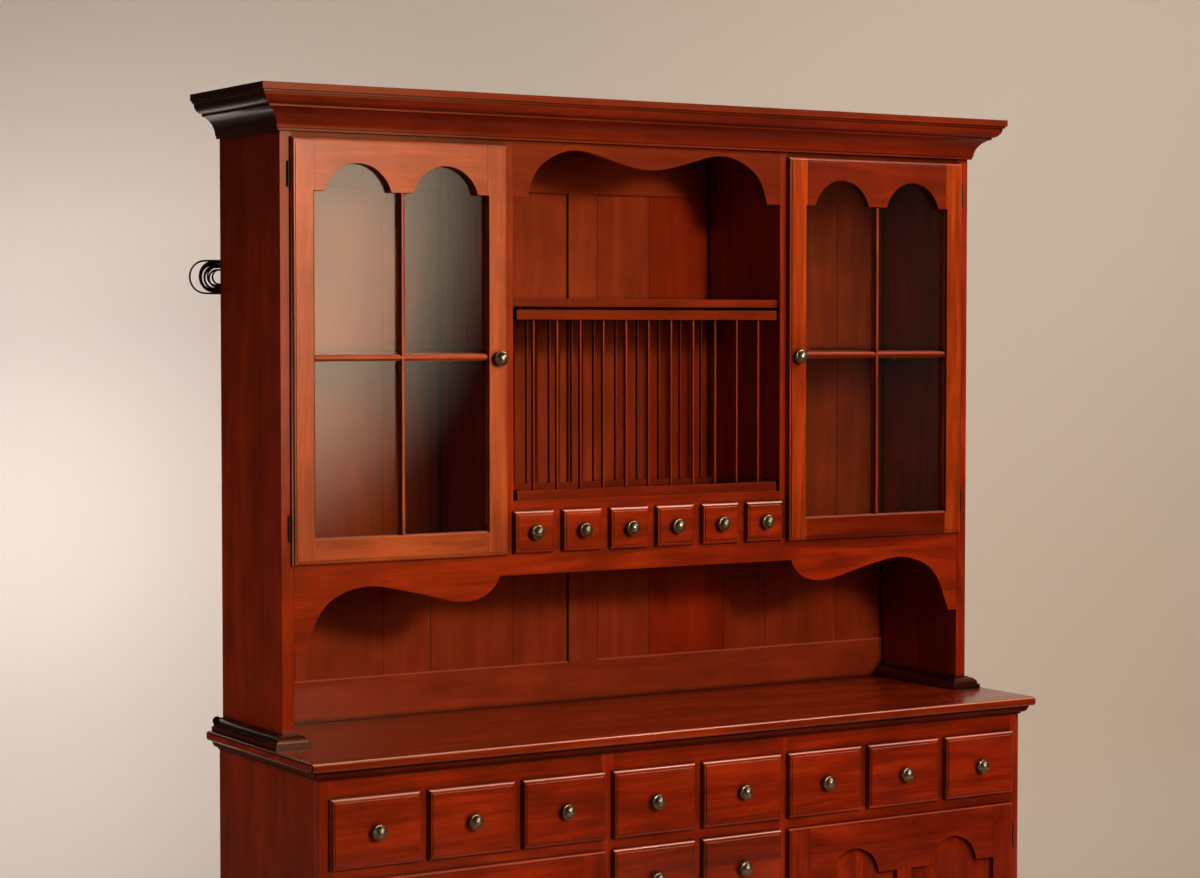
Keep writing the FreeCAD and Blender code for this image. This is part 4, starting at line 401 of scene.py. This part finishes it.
# Knobs and hinges. Cast and turned brass, chemically aged to a brown bronze and waxed: the knobs are
# rubbed brighter and the hinges stay dark.
def aged_metal(name, dark, bright, roughness):
    """Metal under a patina that is mottled in spots about 5 mm wide, smoother where it is brighter."""
    metal, tree, shader = new_material(name)
    place = add(tree, "ShaderNodeTexCoord").outputs["Object"]
    mottle = add(tree, "ShaderNodeTexNoise", {"Vector": place, "Scale": 1000 / 5,
                                              "Detail": 4.0}).outputs["Fac"]
    tone = add(tree, "ShaderNodeValToRGB", {"Fac": mottle})
    tone.color_ramp.elements[0].position = 0.3
    tone.color_ramp.elements[0].color = linear(dark)
    tone.color_ramp.elements[1].position = 0.7
    tone.color_ramp.elements[1].color = linear(bright)
    wear_and_highlight = add(tree, "ShaderNodeMapRange", {"Value": mottle, "From Min": 0.3, "From Max": 0.7,
                                              "To Min": roughness + 0.08, "To Max": roughness - 0.06})
    dents = add(tree, "ShaderNodeBump", {"Height": mottle, "Strength": 0.05, "Distance": 0.0004})
    tree.links.new(tone.outputs["Color"], shader.inputs["Base Color"])
    tree.links.new(wear_and_highlight.outputs[0], shader.inputs["Roughness"])
    tree.links.new(dents.outputs[0], shader.inputs["Normal"])
    shader.inputs["Metallic"].default_value = 1.0
    return metal


knob_bronze = aged_metal("waxed_knob_bronze", "#5E5140", "#A89878", 0.36)
hinge_bronze = aged_metal("dark_hinge_bronze", "#1E1712", "#3A2D22", 0.42)
widest_leaf = 0.02
for door in ("glazed_door_left", "glazed_door_right", "panel_door_left", "panel_door_right"):
    finish_node(door + "_hardware", [hinge_bronze, knob_bronze],
                lambda low, size: int(size.x > widest_leaf))
finish_node("hinge_leaves_and_pins", [hinge_bronze])

# Drawers. Solid lipped fronts with a thumbnail edge on thin maple boxes, each with a bronze knob. The
# front is the board that carries the knob, and the knob is the only piece under 40 mm wide.
# the pale last colour is a painted highlight along the fronts' edges that face up
front_cherry = stained_cherry("front_cherry", "#641002", "#881A03", "#AA2C08", 0.40, 0.6, "#D0A48E")
drawer_finishes = front_cherry + inner_maple + [knob_bronze]
widest_knob, front_reach = 0.04, 0.03


def drawer_finish(low, size, foremost):
    """Where a solid's material stands in the list of a drawer's finishes."""
    if size.x < widest_knob and size.z < widest_knob:
        return drawer_finishes.index(knob_bronze)
    woods = front_cherry if low.y < foremost + front_reach else inner_maple
    return drawer_finishes.index(woods[grain_way(low, size)])


for name in nodes:
    if "_drawer" in name and name != "spice_drawer_case":
        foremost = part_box(name)[0].y
        finish_node(name, drawer_finishes, lambda low, size: drawer_finish(low, size, foremost))

# Steel fittings. The turned shelf pins, and behind the hutch the pressed tie plate and the cord's peg, all
# plated with zinc that has gone dull and faintly mottled.
zinc = aged_metal("dull_zinc_plate", "#5F6163", "#8C8E90", 0.40)
for name in ("shelf_pins", "rear_fittings"):
    finish_node(name, [zinc])

# Cupboard lamps. Pucks moulded in satin plastic and screwed under the ceiling, each with a thin frosted
# lens. The mould's fine speckle is drawn 1.5 mm wide, coarser than it is, so that it can show.
puck_plastic, tree, shader = new_material("moulded_lamp_plastic")
place = add(tree, "ShaderNodeTexCoord").outputs["Object"]
speckle = add(tree, "ShaderNodeTexNoise", {"Vector": place, "Scale": 1000 / 1.5, "Detail": 2.0})
tone = add(tree, "ShaderNodeValToRGB", {"Fac": speckle.outputs["Fac"]})
tone.color_ramp.elements[0].color = linear("#C9C4B8")
tone.color_ramp.elements[1].color = linear("#D6D1C6")
tree.links.new(tone.outputs["Color"], shader.inputs["Base Color"])
shader.inputs["Roughness"].default_value = 0.45
lens_plastic = puck_plastic.copy()
lens_plastic.name = "frosted_lens_plastic"
lens_plastic.node_tree.nodes["Principled BSDF"].inputs["Transmission Weight"].default_value = 0.6
thickest_lens = 0.006
finish_node("cupboard_lamps", [puck_plastic, lens_plastic], lambda low, size: int(size.z < thickest_lens))

# Lead. A black round two-core flex with a soft PVC jacket, dulled by a bloom in spots about 6 mm wide. It
# leaves its gland under the left lamp, hangs behind the hutch and is wound into a long coil on the peg, with
# the last loop loose and its plug below.
jacket, tree, shader = new_material("soft_black_pvc")
place = add(tree, "ShaderNodeTexCoord").outputs["Object"]
bloom = add(tree, "ShaderNodeTexNoise", {"Vector": place, "Scale": 1000 / 6, "Detail": 3.0}).outputs["Fac"]
tone = add(tree, "ShaderNodeValToRGB", {"Fac": bloom})
tone.color_ramp.elements[0].color = linear("#060505")
tone.color_ramp.elements[1].color = linear("#100E0D")
matt = add(tree, "ShaderNodeMapRange", {"Value": bloom, "To Min": 0.5, "To Max": 0.65})
tree.links.new(tone.outputs["Color"], shader.inputs["Base Color"])
tree.links.new(matt.outputs[0], shader.inputs["Roughness"])
blade_brass = aged_metal("plain_blade_brass", "#B08A45", "#C9A45C", 0.30)
thickest_blade = 0.003
for name in ("cord_glands", "coil_tie"):
    finish_node(name, [jacket])
finish_node("plug", [jacket, blade_brass], lambda low, size: int(size.x < thickest_blade))

# The route is in millimetres across, behind and up from where the lead starts, with the coil's heights
# measured from its own level.
jacket_radius = 0.002
lead_low, lead_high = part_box("lamp_lead")
lead_start = Vector((lead_high.x - jacket_radius, (lead_low.y + lead_high.y) / 2, lead_high.z))
coil_level, right_end = -206, -92
loose_end, loose_half_height, loose_behind = -151, 34.6, 4.6
end_points = 9
hanging = [(0, 0), (0, -36.3), (-3.8, -72.7), (-8.4, -107.3), (-19, -140.1), (-38, -165.2), (-57.8, -173)]
tail = [(-128, -34.6), (-100, -34.6), (-89, -37), (-83.5, -44), (-82, -55), (-82, -73.6), (-82, -92.6)]
cord_points = []


def lay_point(across, behind, up):
    """Add one point to the cord."""
    cord_points.append(lead_start + Vector((across / 1000, behind / 1000, up / 1000)))


def half_turn(centre, top, bottom, side, behind):
    """Add the points round one end of the coil: down its left end or up its right end."""
    radius, middle = (top - bottom) / 2, coil_level + (top + bottom) / 2
    for step in range(end_points):
        angle = math.pi * (step / (end_points - 1) - 0.5)
        lay_point(centre + side * radius * math.cos(angle), behind, middle + side * radius * math.sin(angle))


for across, up in hanging:
    lay_point(across, 0, up)
# each turn's left centre, its top and bottom, the next turn's top, and how far behind the first it lies
for left_end, top, bottom, next_top, behind in (
        (-133, 33, -31.5, 30, 0), (-132.5, 30, -29.5, 24.5, 3.2), (-129, 24.5, -26.5, 21, 0),
        (-126, 21, -18, 15.5, 3.2), (-120, 15.5, -15.5, 15.5, 0), (-122, 15.5, -21, 21, 7.6),
        (-127.5, 21, -24.5, 26, 7.6), (-132, 26, -27, loose_half_height, 7.6)):
    half_turn(left_end, top, bottom, -1, behind)
    half_turn(right_end, next_top, bottom, 1, behind)
half_turn(loose_end, loose_half_height, -loose_half_height, -1, loose_behind)
for across, up in tail:
    lay_point(across, loose_behind, coil_level + up)
flex = bpy.data.curves.new("lamp_flex", "CURVE")
flex.dimensions = "3D"
flex.bevel_depth = jacket_radius
flex.bevel_resolution = 4
flex.resolution_u = 5
strand = flex.splines.new("NURBS")
strand.points.add(len(cord_points) - 1)
for point, place in zip(strand.points, cord_points):
    point.co = (*place, 1)
strand.order_u = 3
strand.use_endpoint_u = True
lamp_flex = bpy.data.objects.new("lamp_flex", flex)
bpy.context.scene.collection.objects.link(lamp_flex)
flex.materials.append(jacket)
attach(lamp_flex, "cabinet")
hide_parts("lamp_lead", "cord_coil")
